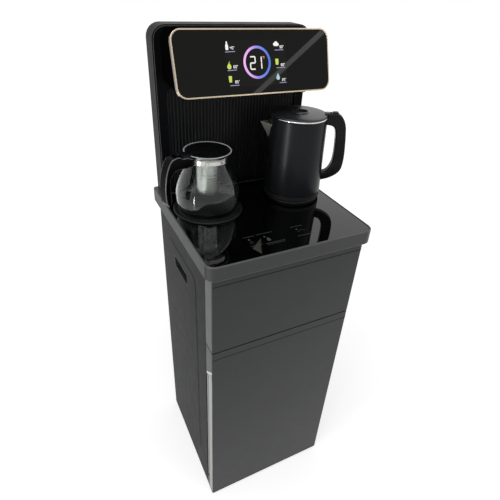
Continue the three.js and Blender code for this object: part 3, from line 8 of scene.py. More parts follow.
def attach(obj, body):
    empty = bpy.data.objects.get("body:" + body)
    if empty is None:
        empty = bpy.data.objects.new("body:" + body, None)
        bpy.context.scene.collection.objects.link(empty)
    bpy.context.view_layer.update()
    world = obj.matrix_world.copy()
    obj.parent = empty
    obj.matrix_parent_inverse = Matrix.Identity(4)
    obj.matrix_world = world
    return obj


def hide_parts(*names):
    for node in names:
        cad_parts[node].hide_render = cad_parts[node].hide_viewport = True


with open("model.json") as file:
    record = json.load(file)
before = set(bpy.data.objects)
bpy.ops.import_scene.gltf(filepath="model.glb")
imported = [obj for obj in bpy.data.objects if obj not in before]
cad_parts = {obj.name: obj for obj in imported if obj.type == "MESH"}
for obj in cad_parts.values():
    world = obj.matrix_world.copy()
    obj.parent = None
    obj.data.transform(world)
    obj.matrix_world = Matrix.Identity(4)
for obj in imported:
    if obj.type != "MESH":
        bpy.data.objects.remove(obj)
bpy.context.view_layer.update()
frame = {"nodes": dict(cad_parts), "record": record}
nodes = frame["nodes"]
MM = 0.001


def linked(name, data):
    """A new object in the scene."""
    made = bpy.data.objects.new(name, data)
    bpy.context.scene.collection.objects.link(made)
    return made


# ---------- camera, fitted to the photo

CAMERA_AT = (-0.3603, -0.6601, 1.1451)
RIGHT = Vector((0.89718, -0.43905, 0.04801)).normalized()
FORWARD = Vector((0.38869, 0.73324, -0.55792)).normalized()

camera_data = bpy.data.cameras.new("camera")
camera_data.sensor_width = 36
camera_data.lens = 29.79
camera_data.clip_start = 0.02
camera = linked("camera", camera_data)
axes = Matrix((RIGHT, RIGHT.cross(FORWARD), -FORWARD)).transposed()
camera.matrix_world = Matrix.Translation(CAMERA_AT) @ axes.to_4x4()
bpy.context.scene.camera = camera

# ---------- frames the pieces are drawn in


def spot(x, y, z, turn=0.0):
    """A frame in metres, at a place given in millimetres, turned about Z by degrees."""
    place = Matrix.Translation((x * MM, y * MM, z * MM))
    return place @ Matrix.Rotation(math.radians(turn), 4, "Z")


SHARED = Matrix()  # the axes that all pieces share
KETTLE_AT = (100.163, 34)
KETTLE = spot(*KETTLE_AT, 752.3, -27)
JUG_AT = (-93.551, 34)
JUG_TURN = 197
JUG = spot(*JUG_AT, 749.8, JUG_TURN)
TOP_Z = 746.2  # top of the worktop glass
# The display face: x across, y up along the glass from its lower edge, z out of it.
FACE_TILT = math.radians(18.4)
FACE_FOOT_Y, FACE_FOOT_Z = 16, 964.4
FACE = Matrix((
    (1, 0, 0, 0),
    (0, math.sin(FACE_TILT), -math.cos(FACE_TILT), FACE_FOOT_Y * MM),
    (0, math.cos(FACE_TILT), math.sin(FACE_TILT), FACE_FOOT_Z * MM),
    (0, 0, 0, 1),
))
LYING = Matrix.Rotation(math.radians(90), 4, "X")  # drawn as x and z, raised along -y
OUT_REAR = Matrix.Rotation(math.radians(-90), 4, "X")  # drawn facing the rear, raised along y
ON_SIDE = Matrix(((0, 0, 1, 0), (1, 0, 0, 0), (0, 1, 0, 0), (0, 0, 0, 1)))  # y and z, along x

# ---------- materials

TONE_SCALE = 9  # noise scale of a skin's broad changes of tone
MOTTLE_SCALE = 45  # and of its changes of gloss
FAINT = 0.00001  # height of the finest grain, in metres
MOULDED = {"grain": 1500, "depth": FAINT}
PAINTED = {"grain": 1600, "depth": FAINT}


class Nodes:
    """Shorthand for building the node tree of a material or of the world."""

    def __init__(self, owner, output="ShaderNodeOutputMaterial"):
        owner.use_nodes = True
        self.owner = owner
        self.tree = owner.node_tree
        self.tree.nodes.clear()
        self.out = self.add(output)
        self.coords = None

    def add(self, kind, inputs=None, **settings):
        """A node; an input is given as a value or as the socket it is linked to."""
        made = self.tree.nodes.new(kind)
        for key, value in settings.items():
            setattr(made, key, value)
        for key, value in (inputs or {}).items():
            if isinstance(value, bpy.types.NodeSocket):
                self.tree.links.new(value, made.inputs[key])
            else:
                made.inputs[key].default_value = value
        return made

    def place(self):
        """The place on the piece itself, in metres."""
        if self.coords is None:
            self.coords = self.add("ShaderNodeTexCoord").outputs["Object"]
        return self.coords

    def noise(self, scale, detail=4, stretch=(1, 1, 1), rough=0.55):
        stretched = self.add("ShaderNodeMapping", {"Vector": self.place(), "Scale": stretch})
        return self.add("ShaderNodeTexNoise", {
            "Vector": stretched.outputs[0], "Scale": scale, "Detail": detail, "Roughness": rough,
        }).outputs["Fac"]

    def spread(self, value, low, high, into_low=0.0, into_high=1.0):
        """The value with low to high stretched over into_low to into_high."""
        return self.add("ShaderNodeMapRange", {
            "Value": value, "From Min": low, "From Max": high, "To Min": into_low,
            "To Max": into_high,
        }).outputs[0]

    def ramp(self, value, stops):
        made = self.add("ShaderNodeValToRGB", {"Fac": value})
        while len(made.color_ramp.elements) < len(stops):
            made.color_ramp.elements.new(0.5)
        for element, (place, color) in zip(made.color_ramp.elements, stops):
            element.position = place
            element.color = (*color, 1)
        return made.outputs["Color"]

    def bump(self, height, distance, strength=1.0):
        inputs = {"Height": height, "Distance": distance, "Strength": strength}
        return self.add("ShaderNodeBump", inputs).outputs["Normal"]

    def combine(self, operation, a, b):
        return self.add("ShaderNodeMath", {0: a, 1: b}, operation=operation).outputs[0]

    def seen(self):
        """1 for rays from the camera, off a mirror or through glass, and 0 for those that light."""
        path = self.add("ShaderNodeLightPath").outputs
        direct = self.combine("MAXIMUM", path["Is Camera Ray"], path["Is Glossy Ray"])
        return self.combine("MAXIMUM", direct, path["Is Transmission Ray"])

    def shown(self, shader):
        """Links the shader to the output and gives back what the tree belongs to."""
        self.tree.links.new(shader.outputs[0], self.out.inputs["Surface"])
        return self.owner

    def finish(self, **inputs):
        """Ends with a Principled shader; an underscore stands for the space in an input's name."""
        named = {key.replace("_", " "): value for key, value in inputs.items()}
        return self.shown(self.add("ShaderNodeBsdfPrincipled", named))


def node_material(name):
    return Nodes(bpy.data.materials.new(name))


def shade(color, factor):
    return tuple(min(c * factor, 1) for c in color)


def surface(name, color, rough, metal=0.0, grain=900, depth=0.00002, vary=0.12,
            stretch=(1, 1, 1), rough_vary=0.05, spec=0.5):
    """Moulded, painted or metal skin: broad tone changes, fine grain in bump and roughness."""
    n = node_material(name)
    fine = n.noise(grain, 3, stretch)
    tones = [(0, shade(color, 1 - vary)), (1, shade(color, 1 + vary))]
    base = n.ramp(n.spread(n.noise(TONE_SCALE, 3), 0.3, 0.7), tones)
    mottled = n.combine("ADD", n.noise(MOTTLE_SCALE), fine)
    gloss = n.spread(mottled, 0.6, 1.4, max(rough - rough_vary, 0.01), rough + rough_vary)
    return n.finish(Base_Color=base, Roughness=gloss, Metallic=metal, Specular_IOR_Level=spec,
                    Normal=n.bump(fine, depth))


def polished(name, color, rough, metal=0.0, *, smudge, spec=0.5):
    """Polished glass over black print, or plated metal: faint smudges in the gloss only."""
    n = node_material(name)
    base = n.ramp(n.noise(5, 2), [(0.3, shade(color, 0.92)), (0.7, shade(color, 1.08))])
    gloss = n.spread(n.noise(14, 5, rough=0.7), 0.45, 0.75, rough, rough + smudge)
    return n.finish(Base_Color=base, Roughness=gloss, Metallic=metal, Specular_IOR_Level=spec,
                    Normal=n.bump(n.noise(3, 1), 0.0001, 0.25))


def clear(name, color, ior=1.33, through=1.0, rough=0.0):
    """Blown glass: colourless, its tint a little uneven."""
    n = node_material(name)
    base = n.ramp(n.noise(6, 2), [(0.3, shade(color, 0.985)), (0.7, color)])
    return n.finish(Base_Color=base, Roughness=rough, IOR=ior, Transmission_Weight=through)


def glow(name, color, strength, stops=None, across=None):
    """A lit mark of the display; with stops, its colour runs along x between the two of across."""
    n = node_material(name)
    if stops:
        x = n.add("ShaderNodeSeparateXYZ", {"Vector": n.place()}).outputs["X"]
        light = n.ramp(n.spread(x, *across), stops)
    else:
        light = n.ramp(n.noise(300, 2), [(0.2, shade(color, 0.9)), (0.8, color)])
    return n.finish(Base_Color=(0.01, 0.01, 0.01, 1), Emission_Color=light,
                    Emission_Strength=strength, Roughness=0.3)


def lathed(name, color, rough):
    """Steel polished on a lathe: fine rings of scratches at right angles to Z."""
    n = node_material(name)
    fine = n.noise(500, 3, (0.03, 0.03, 1))
    base = n.ramp(n.noise(12, 3), [(0.3, shade(color, 0.86)), (0.7, shade(color, 1.06))])
    gloss = n.spread(fine, 0.35, 0.65, rough - 0.05, rough + 0.08)
    return n.finish(Base_Color=base, Roughness=gloss, Metallic=1.0, Normal=n.bump(fine, FAINT))


def knurled(name, color, rough):
    """Cast plate with a close pattern of small raised points."""
    n = node_material(name)
    dots = n.add("ShaderNodeTexVoronoi", {"Vector": n.place(), "Scale": 520})
    height = n.spread(dots.outputs["Distance"], 0.1, 0.55, 1, 0)
    # The colour follows the height: painted shade between the points and painted light on their
    # tops.
    base = n.ramp(height, [(0, shade(color, 0.55)), (1, shade(color, 1.35))])
    gloss = n.spread(n.noise(60), 0.3, 0.7, rough - 0.06, rough + 0.06)
    return n.finish(Base_Color=base, Roughness=gloss, Specular_IOR_Level=0.2,
                    Normal=n.bump(height, 0.00012))


M = {
    "front": surface(
        "front_panel", (0.03, 0.032, 0.0312), 0.42, grain=1500, depth=0.000012, vary=0.05,
        spec=0.25),
    # A lighter copy of the front finish for rounded edges: a painted highlight.
    "front_edge_painted_highlight": surface("front_edge_painted_highlight", (0.085, 0.088, 0.086), 0.35, spec=0.3, **MOULDED),
    # Lighter finishes for the faces of the fascia and the door that look left or right: painted
    # light.
    "fascia_side_painted_light": surface("fascia_side_painted_light", (0.07, 0.073, 0.07), 0.4, spec=0.2, **MOULDED),
    "door_side_painted_light": surface("door_side_painted_light", (0.055, 0.058, 0.056), 0.4, spec=0.2, **MOULDED),
    "grip": surface("grip_strip", (0.345, 0.35, 0.335), 0.4, grain=1500, vary=0.05),
    # Far paler than the grip: painted light, a highlight on the strip's cap and light inside the
    # shaded finger channel.
    "strip_cap_painted_light": surface("strip_cap_painted_light", (0.66, 0.66, 0.64), 0.3, grain=1500, vary=0.04),
    "side": surface(
        "side_paint", (0.0112, 0.012, 0.012), 0.45, grain=1600, vary=0.08, spec=0.035),
    # A lighter copy of the side paint for rounded edges: a painted highlight.
    "side_edge_painted_highlight": surface("side_edge_painted_highlight", (0.08, 0.084, 0.084), 0.4, spec=0.15, **PAINTED),
    "tray": surface("tray_metal", (0.036, 0.038, 0.0372), 0.36, grain=1600, vary=0.07, spec=0.3),
    # A lighter copy of the tray finish for rounded edges: a painted highlight.
    "tray_edge_painted_highlight": surface("tray_edge_painted_highlight", (0.15, 0.155, 0.15), 0.3, spec=0.4, **PAINTED),
    # A darker copy for the tray's faces that look left or right: painted shade.
    "tray_side_painted_shade": surface(
        "tray_side_painted_shade", (0.022, 0.0235, 0.023), 0.36, grain=1600, vary=0.07, spec=0.11),
    "tower": surface("tower_black", (0.004, 0.0043, 0.005), 0.4, grain=1600, spec=0.032),
    # Lighter copies for the rounded edges of the tower and its back cover: painted highlights.
    "tower_edge_painted_highlight": surface("tower_edge_painted_highlight", (0.11, 0.11, 0.1), 0.3, spec=0.4, **PAINTED),
    "back_edge_painted_highlight": surface("back_edge_painted_highlight", (0.03, 0.032, 0.032), 0.35, spec=0.2, **PAINTED),
    "head": surface("head_black", (0.0018, 0.0018, 0.0022), 0.25, spec=0.0, **PAINTED),
    "ribbed": surface(
        "ribbed_black", (0.006, 0.0066, 0.0076), 0.42, grain=1200, depth=FAINT, spec=0.12),
    "black": surface("black_plastic", (0.011, 0.011, 0.012), 0.42, grain=1300, spec=0.3),
    "plate": knurled("plate_black", (0.01, 0.011, 0.011), 0.42),
    # Black rubber of the feet and the cord gland, also used for the black strips that paint the
    # shade in seams.
    "rubber": surface("rubber", (0.012, 0.012, 0.012), 0.8, grain=700, depth=0.00005, spec=0.2),
    "white": surface("white_plastic", (0.68, 0.68, 0.66), 0.45, grain=1200),
    "grey": surface("grey_plastic", (0.15, 0.155, 0.16), 0.45, grain=1200),
    "liner": surface("liner_grey", (0.19, 0.195, 0.2), 0.5, grain=700, depth=0.00005),
    "circuit": surface("circuit", (0.015, 0.12, 0.05), 0.4, grain=300, depth=0.0001, vary=0.3),
    "aluminium": surface(
        "aluminium", (0.6, 0.61, 0.63), 0.35, 1, grain=600, stretch=(1, 1, 0.05)),
    "silicone": surface("silicone", (0.55, 0.57, 0.57), 0.4, grain=500),
    "red": surface("switch_red", (0.45, 0.02, 0.015), 0.25, grain=800),
    "green": surface("switch_green", (0.02, 0.25, 0.06), 0.25, grain=800),
    "kettle": surface(
        "kettle_black", (0.008, 0.009, 0.0104), 0.3, grain=1500, depth=0.000025, vary=0.1,
        spec=0.14),
    "lid": surface("lid_black", (0.018, 0.019, 0.021), 0.3, grain=1500, spec=0.4),
    "jug_lid": surface("jug_lid_black", (0.004, 0.0042, 0.005), 0.25, spec=0.16, **MOULDED),
    "handle": surface(
        "handle_black", (0.0042, 0.0042, 0.005), 0.26, grain=1200, depth=FAINT, spec=0.14),
    "gloss": surface(
        "gloss_black", (0.002, 0.002, 0.0026), 0.13, depth=0.000005, spec=0.04, rough_vary=0.03),
    # A lighter copy for the rounded edges of the jug's handle: painted highlight lines.
    "gloss_edge_painted_highlight": surface("gloss_edge_painted_highlight", (0.1, 0.105, 0.11), 0.1, depth=0.000005, vary=0.5),
    "glass_black": polished("black_glass", (0.0008, 0.001, 0.0012), 0.01, smudge=0.015, spec=0.6),
    "display": polished("display_glass", (0.0042, 0.004, 0.0036), 0.012, smudge=0.015, spec=0.12),
    "window": polished("display_window", (0.0085, 0.008, 0.0072), 0.02, smudge=0.02, spec=0.12),
    "gold": polished("rose_gold", (0.53, 0.43, 0.32), 0.16, 1, smudge=0.08),
    # A lighter copy of the rose gold for rounded edges: a painted highlight.
    "gold_painted_highlight_edge": polished("rose_gold_painted_highlight_edge", (0.88, 0.74, 0.54), 0.12, 1, smudge=0.08),
    # A darker copy of the rose gold for faces that look left or right: painted shade.
    "gold_painted_shade_side": polished("rose_gold_painted_shade_side", (0.13, 0.105, 0.08), 0.2, 1, smudge=0.08),
    "chrome": polished("chrome", (0.66, 0.66, 0.65), 0.1, 1, smudge=0.08),
    "steel": lathed("steel", (0.52, 0.515, 0.495), 0.18),
    "mesh": lathed("strainer_steel", (0.56, 0.565, 0.535), 0.3),
    "spout": surface(
        "spout_steel", (0.74, 0.73, 0.64), 0.45, 1, grain=260, depth=0.00006, vary=0.2,
        rough_vary=0.12),
    "clear": clear("clear_glass", (0.93, 0.965, 0.955)),
    # A pale, half-clear glass for the lip: a painted highlight along the rim.
    "clear_rim_painted_highlight": clear("clear_rim_painted_highlight", (0.86, 0.9, 0.88), 1.45, 0.4, 0.1),
    "print": surface("print_grey", (0.065, 0.068, 0.072), 0.5, grain=600, spec=0.2),
    "screw": surface("screw_zinc", (0.35, 0.36, 0.36), 0.32, 1, depth=FAINT),
    "lit_white": glow("lit_white", (1, 1, 0.97), 0.95),
    "lit_lime": glow("lit_lime", (0.62, 0.78, 0.1), 0.9),
    "lit_ice": glow("lit_ice", (0.5, 0.72, 0.78), 0.85),
    "lit_violet": glow("lit_violet", (0.52, 0.46, 0.8), 0.7),
    "lit_red": glow("lit_red", (0.8, 0.25, 0.25), 0.8),
    "lit_ring": glow("lit_ring", None, 1, [
        (0, (0.92, 0.46, 0.9)), (0.25, (0.74, 0.38, 0.84)), (0.5, (0.27, 0.22, 0.8)),
        (0.78, (0.09, 0.19, 0.72)), (1, (0.035, 0.15, 0.62)),
    ], (-0.027, 0.027)),
}

CAD_MATERIALS = {
    "black": "base_tray handle_cup_left handle_cup_right kettle_nozzle fan_frame fan_rotor "
             "switch_bezel power_base kettle_base",
    "rubber": "foot_front_left foot_front_right foot_rear_left foot_rear_right cord_gland",
    "side": "side_panel_left side_panel_right rear_panel bay_shelf",
    "front": "front_fascia door_panel door_top_trim",
    "grip": "door_grip_strip",
    "steel": "hinge_pin_top hinge_pin_bottom suction_pipe jug_band infuser",
    "spout": "kettle_spout",
    "white": "catch_magnet lift_pump cold_tank bottle_cap",
    "tray": "worktop_tray",
    "glass_black": "worktop_glass",
    "plate": "warming_plate",
    "grey": "power_connector hose_bracket",
    "tower": "tower_shell tower_back_cover",
    "head": "head_housing",
    "ribbed": "ribbed_panel",
    "gold": "head_trim",
    "display": "head_glass",
    "circuit": "display_board control_board",
    "aluminium": "heat_sink",
    "silicone": "supply_hose",
    "liner": "door_liner",
    "red": "heat_switch",
    "green": "cold_switch",
    "kettle": "kettle_body",
    "lid": "kettle_lid",
    "jug_lid": "jug_lid",
    "handle": "kettle_handle lid_button jug_handle",
    "chrome": "kettle_rim",
    "clear": "jug_glass",
}
BODY = {n: b for b, members in frame["record"]["behaviour"]["bodies"].items() for n in members}
FINISH = {n: key for key, names in CAD_MATERIALS.items() for n in names.split()}
for name, node in nodes.items():
    node.data.materials.clear()
    node.data.materials.append(M[FINISH[name]])

# ---------- mesh helpers

WELD = 1e-5  # metres between corners that count as one
FLAT_ANGLE = 0.6  # degrees: faces that meet flatter than this are one
SHARP_ANGLE = 28  # degrees: edges sharper than this are rounded
# Faces that look left or right take a side finish, which is painted light on some pieces and
# painted shade on others.
SIDEWAYS = 0.95  # share of x in the normal of a face that looks left or right
EDGE_SHARE = 0.45  # of an edge, the most that the rounding of one corner takes


def new_object(name, bm, material, body, node=None, smooth=35, place=SHARED):
    """Links a mesh piece and lets it ride on its body; when it stands for a CAD node, it replaces
    that. The mesh is in millimetres, in the frame place, or with None in the shared metres."""
    if place is not None:
        bm.transform(place @ Matrix.Scale(MM, 4))
    mesh = bpy.data.meshes.new(name)
    bmesh.ops.recalc_face_normals(bm, faces=bm.faces)
    bm.to_mesh(mesh)
    bm.free()
    for polygon in mesh.polygons:
        polygon.use_smooth = True
    mesh.set_sharp_from_angle(angle=math.radians(smooth))
    mesh.materials.append(M[material])
    made = linked(name, mesh)
    # Large flat faces keep their own normal; only the rounded edges shade smoothly.
    normals = made.modifiers.new("normals", "WEIGHTED_NORMAL")
    normals.keep_sharp = True
    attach(made, body)
    if node:
        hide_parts(node)
    return made


def refined(node, width, edge=None, sides=None, above=0.0):
    """The node's own shape with its hard edges softly rounded, as moulded and folded edges are.
    edge is a lighter finish for the rounded edges above a height, which paints a highlight on them,
    and sides the finish of the faces that look left or right, which paints light or shade on them."""
    bm = bmesh.new()
    bm.from_mesh(nodes[node].data)
    bmesh.ops.remove_doubles(bm, verts=bm.verts, dist=WELD)
    bmesh.ops.dissolve_limit(bm, angle_limit=math.radians(FLAT_ANGLE), verts=bm.verts,
                             edges=bm.edges)
    sharp = [e for e in bm.edges
             if len(e.link_faces) == 2 and e.calc_face_angle() > math.radians(SHARP_ANGLE)]
    for face in bm.faces:
        face.material_index = 0
    bmesh.ops.bevel(bm, geom=sharp, offset=width * MM, segments=2, profile=0.6, affect="EDGES",
                    clamp_overlap=True, material=1 if edge else -1)
    bm.normal_update()
    for face in bm.faces:
        if sides and abs(face.normal.x) > SIDEWAYS:
            face.material_index = 2
        elif face.calc_center_median().z < above * MM:
            face.material_index = 0
    made = new_object("soft_" + node, bm, FINISH[node], BODY[node], node, 40, None)
    if edge:
        made.data.materials.append(M[edge])
        made.data.materials.append(M[sides or edge])
    return made


def eased(points, radius, closed=False, steps=3):
    """The line through the points, its corners rounded; a third number at a point is its own
    radius."""
    out = []
    count = len(points)
    for i, point in enumerate(points):
        here = Vector(point[:2])
        size = point[2] if len(point) > 2 else radius
        if size == 0 or (not closed and i in (0, count - 1)):
            out.append(here)
            continue
        before = Vector(points[i - 1][:2]) - here
        after = Vector(points[(i + 1) % count][:2]) - here
        reach = min(size, before.length * EDGE_SHARE, after.length * EDGE_SHARE)
        start = here + before.normalized() * reach
        end = here + after.normalized() * reach
        for k in range(steps + 1):
            t = k / steps
            out.append(start * (1 - t) ** 2 + here * 2 * t * (1 - t) + end * t * t)
    return out


def curved(points, count):
    """count points along one smooth line through the given ones."""
    ends = [Vector(points[0]) * 2 - Vector(points[1])] + [Vector(p) for p in points]
    ends.append(Vector(points[-1]) * 2 - Vector(points[-2]))
    out = []
    for k in range(count):
        place = k / (count - 1) * (len(points) - 1)
        i = min(int(place), len(points) - 2)
        t = place - i
        a, b, c, d = ends[i:i + 4]
        out.append(0.5 * (2 * b + (c - a) * t + (2 * a - 5 * b + 4 * c - d) * t * t
                          + (3 * b - a - 3 * c + d) * t ** 3))
    return out


def spaced(points, count):
    """count points at even steps along a line."""
    lengths = [0]
    for a, b in zip(points, points[1:]):
        lengths.append(lengths[-1] + (b - a).length)
    out = []
    i = 0
    for k in range(count):
        want = lengths[-1] * k / (count - 1)
        while i < len(points) - 2 and lengths[i + 1] < want:
            i += 1
        step = max(lengths[i + 1] - lengths[i], 1e-9)
        out.append(points[i].lerp(points[i + 1], (want - lengths[i]) / step))
    return out


def skinned(bm, rows, ring=False):
    """Faces between rows of corners; a row of one corner is a pole, and ring joins the last row
    to the first."""
    sides = max(len(row) for row in rows)
    pairs = list(zip(rows, rows[1:])) + ([(rows[-1], rows[0])] if ring else [])
    for low, high in pairs:
        for i in range(sides):
            j = (i + 1) % sides
            corners = [low[i % len(low)], low[j % len(low)], high[j % len(high)],
                       high[i % len(high)]]
            unique = list(dict.fromkeys(corners))
            if len(unique) > 2:
                bm.faces.new(unique)
    return bm


def turned(profile, sides=96, ring=False, centre=(0, 0)):
    """A lathed solid about a line parallel to Z, from a profile of radius and height."""
    bm = bmesh.new()
    angles = [2 * math.pi * i / sides for i in range(sides)]
    rows = []
    for r, z in profile:
        if r < 1e-6:
            rows.append([bm.verts.new((*centre, z))])
            continue
        rows.append([bm.verts.new((centre[0] + r * math.cos(a), centre[1] + r * math.sin(a), z))
                     for a in angles])
    return skinned(bm, rows, ring)


def spun(profile, radius, sides, ring=False, steps=3, centre=(0, 0)):
    """A lathed solid, the corners of its profile rounded."""
    return turned(eased(profile, radius, ring, steps), sides, ring, centre)


def prism(outline, z0, z1, soft=0.0, steps=2):
    """An outline in x and y drawn out along Z, the rims of both ends rounded by soft."""
    bm = bmesh.new()
    low = [bm.verts.new((p[0], p[1], z0)) for p in outline]
    high = [bm.verts.new((p[0], p[1], z1)) for p in outline]
    ends = [bm.faces.new(low[::-1]), bm.faces.new(high)]
    skinned(bm, [low, high])
    if soft:
        rims = [e for face in ends for e in face.edges]
        bmesh.ops.bevel(bm, geom=rims, offset=soft, segments=steps, profile=0.5, affect="EDGES",
                        clamp_overlap=True)
    return bm


def corners_of(x0, x1, y0, y1):
    return [(x0, y0), (x1, y0), (x1, y1), (x0, y1)]


def slab(x0, x1, y0, y1, z0, z1, corner=0.0, soft=0.0):
    """A block whose upright edges are rounded by corner and whose ends are eased by soft."""
    outline = corners_of(x0, x1, y0, y1)
    return prism(eased(outline, corner, True) if corner else outline, z0, z1, soft)


def joined(*parts):
    """Several meshes as one piece."""
    mesh = bpy.data.meshes.new("part")
    whole = bmesh.new()
    for part in parts:
        part.to_mesh(mesh)
        part.free()
        whole.from_mesh(mesh)
    bpy.data.meshes.remove(mesh)
    return whole


def moved(bm, matrix):
    bm.transform(matrix)
    return bm


def carved(bm, *tools):
    """The solid with the tools cut out of it."""
    made = []
    for part in (bm, *tools):
        bmesh.ops.recalc_face_normals(part, faces=part.faces)
        mesh = bpy.data.meshes.new("part")
        part.to_mesh(mesh)
        part.free()
        made.append(linked("part", mesh))
    for tool in made[1:]:
        cut = made[0].modifiers.new("cut", "BOOLEAN")
        cut.object = tool
        cut.solver = "EXACT"
    shown = made[0].evaluated_get(bpy.context.evaluated_depsgraph_get())
    out = bmesh.new()
    out.from_mesh(shown.to_mesh())
    shown.to_mesh_clear()
    for part in made:
        mesh = part.data
        bpy.data.objects.remove(part)
        bpy.data.meshes.remove(mesh)
    return out


LINE_SAMPLES = 240  # points taken on a handle's line before they are spaced evenly
CORNER_STEPS = 5  # faces round each long edge of a handle
FULLEST = 0.98  # most of a handle's half thickness that its rounding takes
END_STEPS = 6  # rings over the round end of a handle
END_NARROWS, END_THINS = 0.55, 0.35  # by which that end draws in, across and in y


def bow(outer, inner, half, corner, count=90, round_end=0.0, rims=False):
    """A curved handle between two lines in x and z, 2 * half deep in y, its long edges rounded.
    round_end is how far its end bulges, and rims gives the rounded edges the mesh's second
    material, which paints highlight lines on them."""
    outer = spaced(curved(outer, LINE_SAMPLES), count)
    inner = spaced(curved(inner, LINE_SAMPLES), count)
    bm = bmesh.new()

    def section(a, b, depth):
        """The corners of a rounded box from a to b, as one row."""
        across = b - a
        thick = across.length / 2
        middle = (a + b) / 2
        unit = across.normalized()
        radius = min(corner, thick * FULLEST, depth * FULLEST)
        row = []
        for su, sv, start in ((1, 1, 0), (-1, 1, 90), (-1, -1, 180), (1, -1, 270)):
            for k in range(CORNER_STEPS + 1):
                angle = math.radians(start + 90 * k / CORNER_STEPS)
                u = su * (thick - radius) + radius * math.cos(angle)
                v = sv * (depth - radius) + radius * math.sin(angle)
                point = middle + unit * u
                row.append(bm.verts.new((point.x, v, point.y)))
        return row

    rows = [section(a, b, half) for a, b in zip(outer, inner)]
    if round_end:
        a, b = outer[-1], inner[-1]
        along = ((a + b) / 2 - (outer[-4] + inner[-4]) / 2).normalized()
        middle = (a + b) / 2
        for k in range(1, END_STEPS):
            turn = math.radians(90 * k / END_STEPS)
            drawn_in = 1 - math.cos(turn)
            narrow = 1 - drawn_in * END_NARROWS
            shift = along * (round_end * math.sin(turn))
            rows.append(section(middle + (a - middle) * narrow + shift,
                                middle + (b - middle) * narrow + shift,
                                half * (1 - drawn_in * END_THINS)))
    skinned(bm, rows)
    if rims:
        # The middle faces round each long edge take the second material: painted highlight lines.
        for n, face in enumerate(bm.faces):
            step = n % (4 * CORNER_STEPS + 4) % (CORNER_STEPS + 1)  # within one corner's faces
            face.material_index = int(1 <= step < CORNER_STEPS - 1)
    bm.faces.new(rows[0][::-1])
    bm.faces.new(rows[-1])
    return bm


# ---------- cabinet, tower and insides

CHANNEL_X, CHANNEL_Y = (-159.5, -147), -133.5  # sides and front of the door's finger channel
STRIP_TOP = 452  # where the pale strip's slope begins
# Behind TRAY_REAR the tray's rounded edges keep the plain finish without the painted highlight, and
# so do the tower's edges below TOWER_FOOT.
TRAY_REAR = 0.09  # in metres; the tray's edges behind it lie under the tower
TOWER_FOOT = 760  # the tower's edges below it lie behind the tray's rim

# The edge finishes given below are painted highlights on the rounded edges. The side finishes are
# painted light on the fascia and the door, and painted shade on the tray and the gold trim.
refined("front_fascia", 0.9, "front_edge_painted_highlight", "fascia_side_painted_light")
door = refined("door_panel", 0.9, "front_edge_painted_highlight", "door_side_painted_light")
door.data.materials.append(M["grip"])
for polygon in door.data.polygons:  # the finger channel beside the strip is lined like it
    x, y, z = (value / MM for value in polygon.center)
    if CHANNEL_X[0] < x < CHANNEL_X[1] and y > CHANNEL_Y and z < STRIP_TOP:
        polygon.material_index = 3
refined("door_top_trim", 0.9, "front_edge_painted_highlight", "door_side_painted_light")
refined("side_panel_left", 0.8, "side_edge_painted_highlight")
refined("side_panel_right", 0.8, "side_edge_painted_highlight")
tray = refined("worktop_tray", 0.5, "tray_edge_painted_highlight", "tray_side_painted_shade")
# The tray's edges under the tower lose their painted highlight.
for polygon in tray.data.polygons:
    if polygon.center.y > TRAY_REAR and polygon.material_index == 1:
        polygon.material_index = 0
refined("rear_panel", 0.4, "side_edge_painted_highlight")
refined("tower_back_cover", 0.6, "back_edge_painted_highlight")
refined("tower_shell", 0.6, "tower_edge_painted_highlight", above=TOWER_FOOT)
refined("head_trim", 0.4, "gold_painted_highlight_edge", "gold_painted_shade_side")
SOFT_WIDTHS = {
    0.1: "display_board control_board",
    0.2: "heat_sink supply_hose suction_pipe",
    0.25: "fan_rotor",
    0.3: "door_grip_strip bay_shelf head_glass kettle_nozzle hose_bracket switch_bezel cord_gland "
         "hinge_pin_top hinge_pin_bottom power_connector",
    0.35: "ribbed_panel kettle_spout",
    0.4: "worktop_glass bottle_cap heat_switch cold_switch catch_magnet",
    0.5: "foot_front_left foot_front_right foot_rear_left foot_rear_right lid_button",
    0.6: "base_tray lift_pump fan_frame",
    0.8: "handle_cup_left handle_cup_right door_liner head_housing",
    1.0: "cold_tank",
}
for width, names in SOFT_WIDTHS.items():
    for name in names.split():
        refined(name, width)

# Black strips painted into the gaps as their shade: the seam of the fascia's upper strip, the slit
# beside the left panel and the seam of the door's top trim.
SEAM_END = 159.2
seam = slab(-SEAM_END, SEAM_END, -152.75, -152.2, 696.2, 697.7, 0.15)
slit = slab(-160.25, -159.6, -119.6, -117.4, 12, 715, 0.15)
new_object("fascia_seam_painted_shade", joined(seam, slit), "rubber", "cabinet")
new_object("door_seam_painted_shade", slab(-SEAM_END, SEAM_END, -152.7, -152, 514.4, 515.8, 0.15), "rubber",
           "door")

# The pale strip ends in a slope under a cap painted light as a highlight, and the cabinet's edge
# behind the door's finger channel is painted light against the channel's shade.
slope = [(-150.2, STRIP_TOP), (-124.2, STRIP_TOP), (-124.2, 454), (-150.2, 476)]
new_object("strip_ramp", moved(prism(slope, -160.35, -159.9), ON_SIDE), "grip", "door")
cap = [(-150.6, 474.5), (-124, STRIP_TOP), (-124, 457.5), (-150.6, 480)]
new_object("strip_cap_painted_light", moved(prism(cap, -160.7, -158.3, 0.3), ON_SIDE), "strip_cap_painted_light", "door")
# A pale slab in the shaded channel: painted light.
new_object("channel_painted_light", slab(-158.2, -153.2, -119.2, -118.4, 41, 445, 0.2), "strip_cap_painted_light",
           "cabinet")

# ---------- warming plate and power base

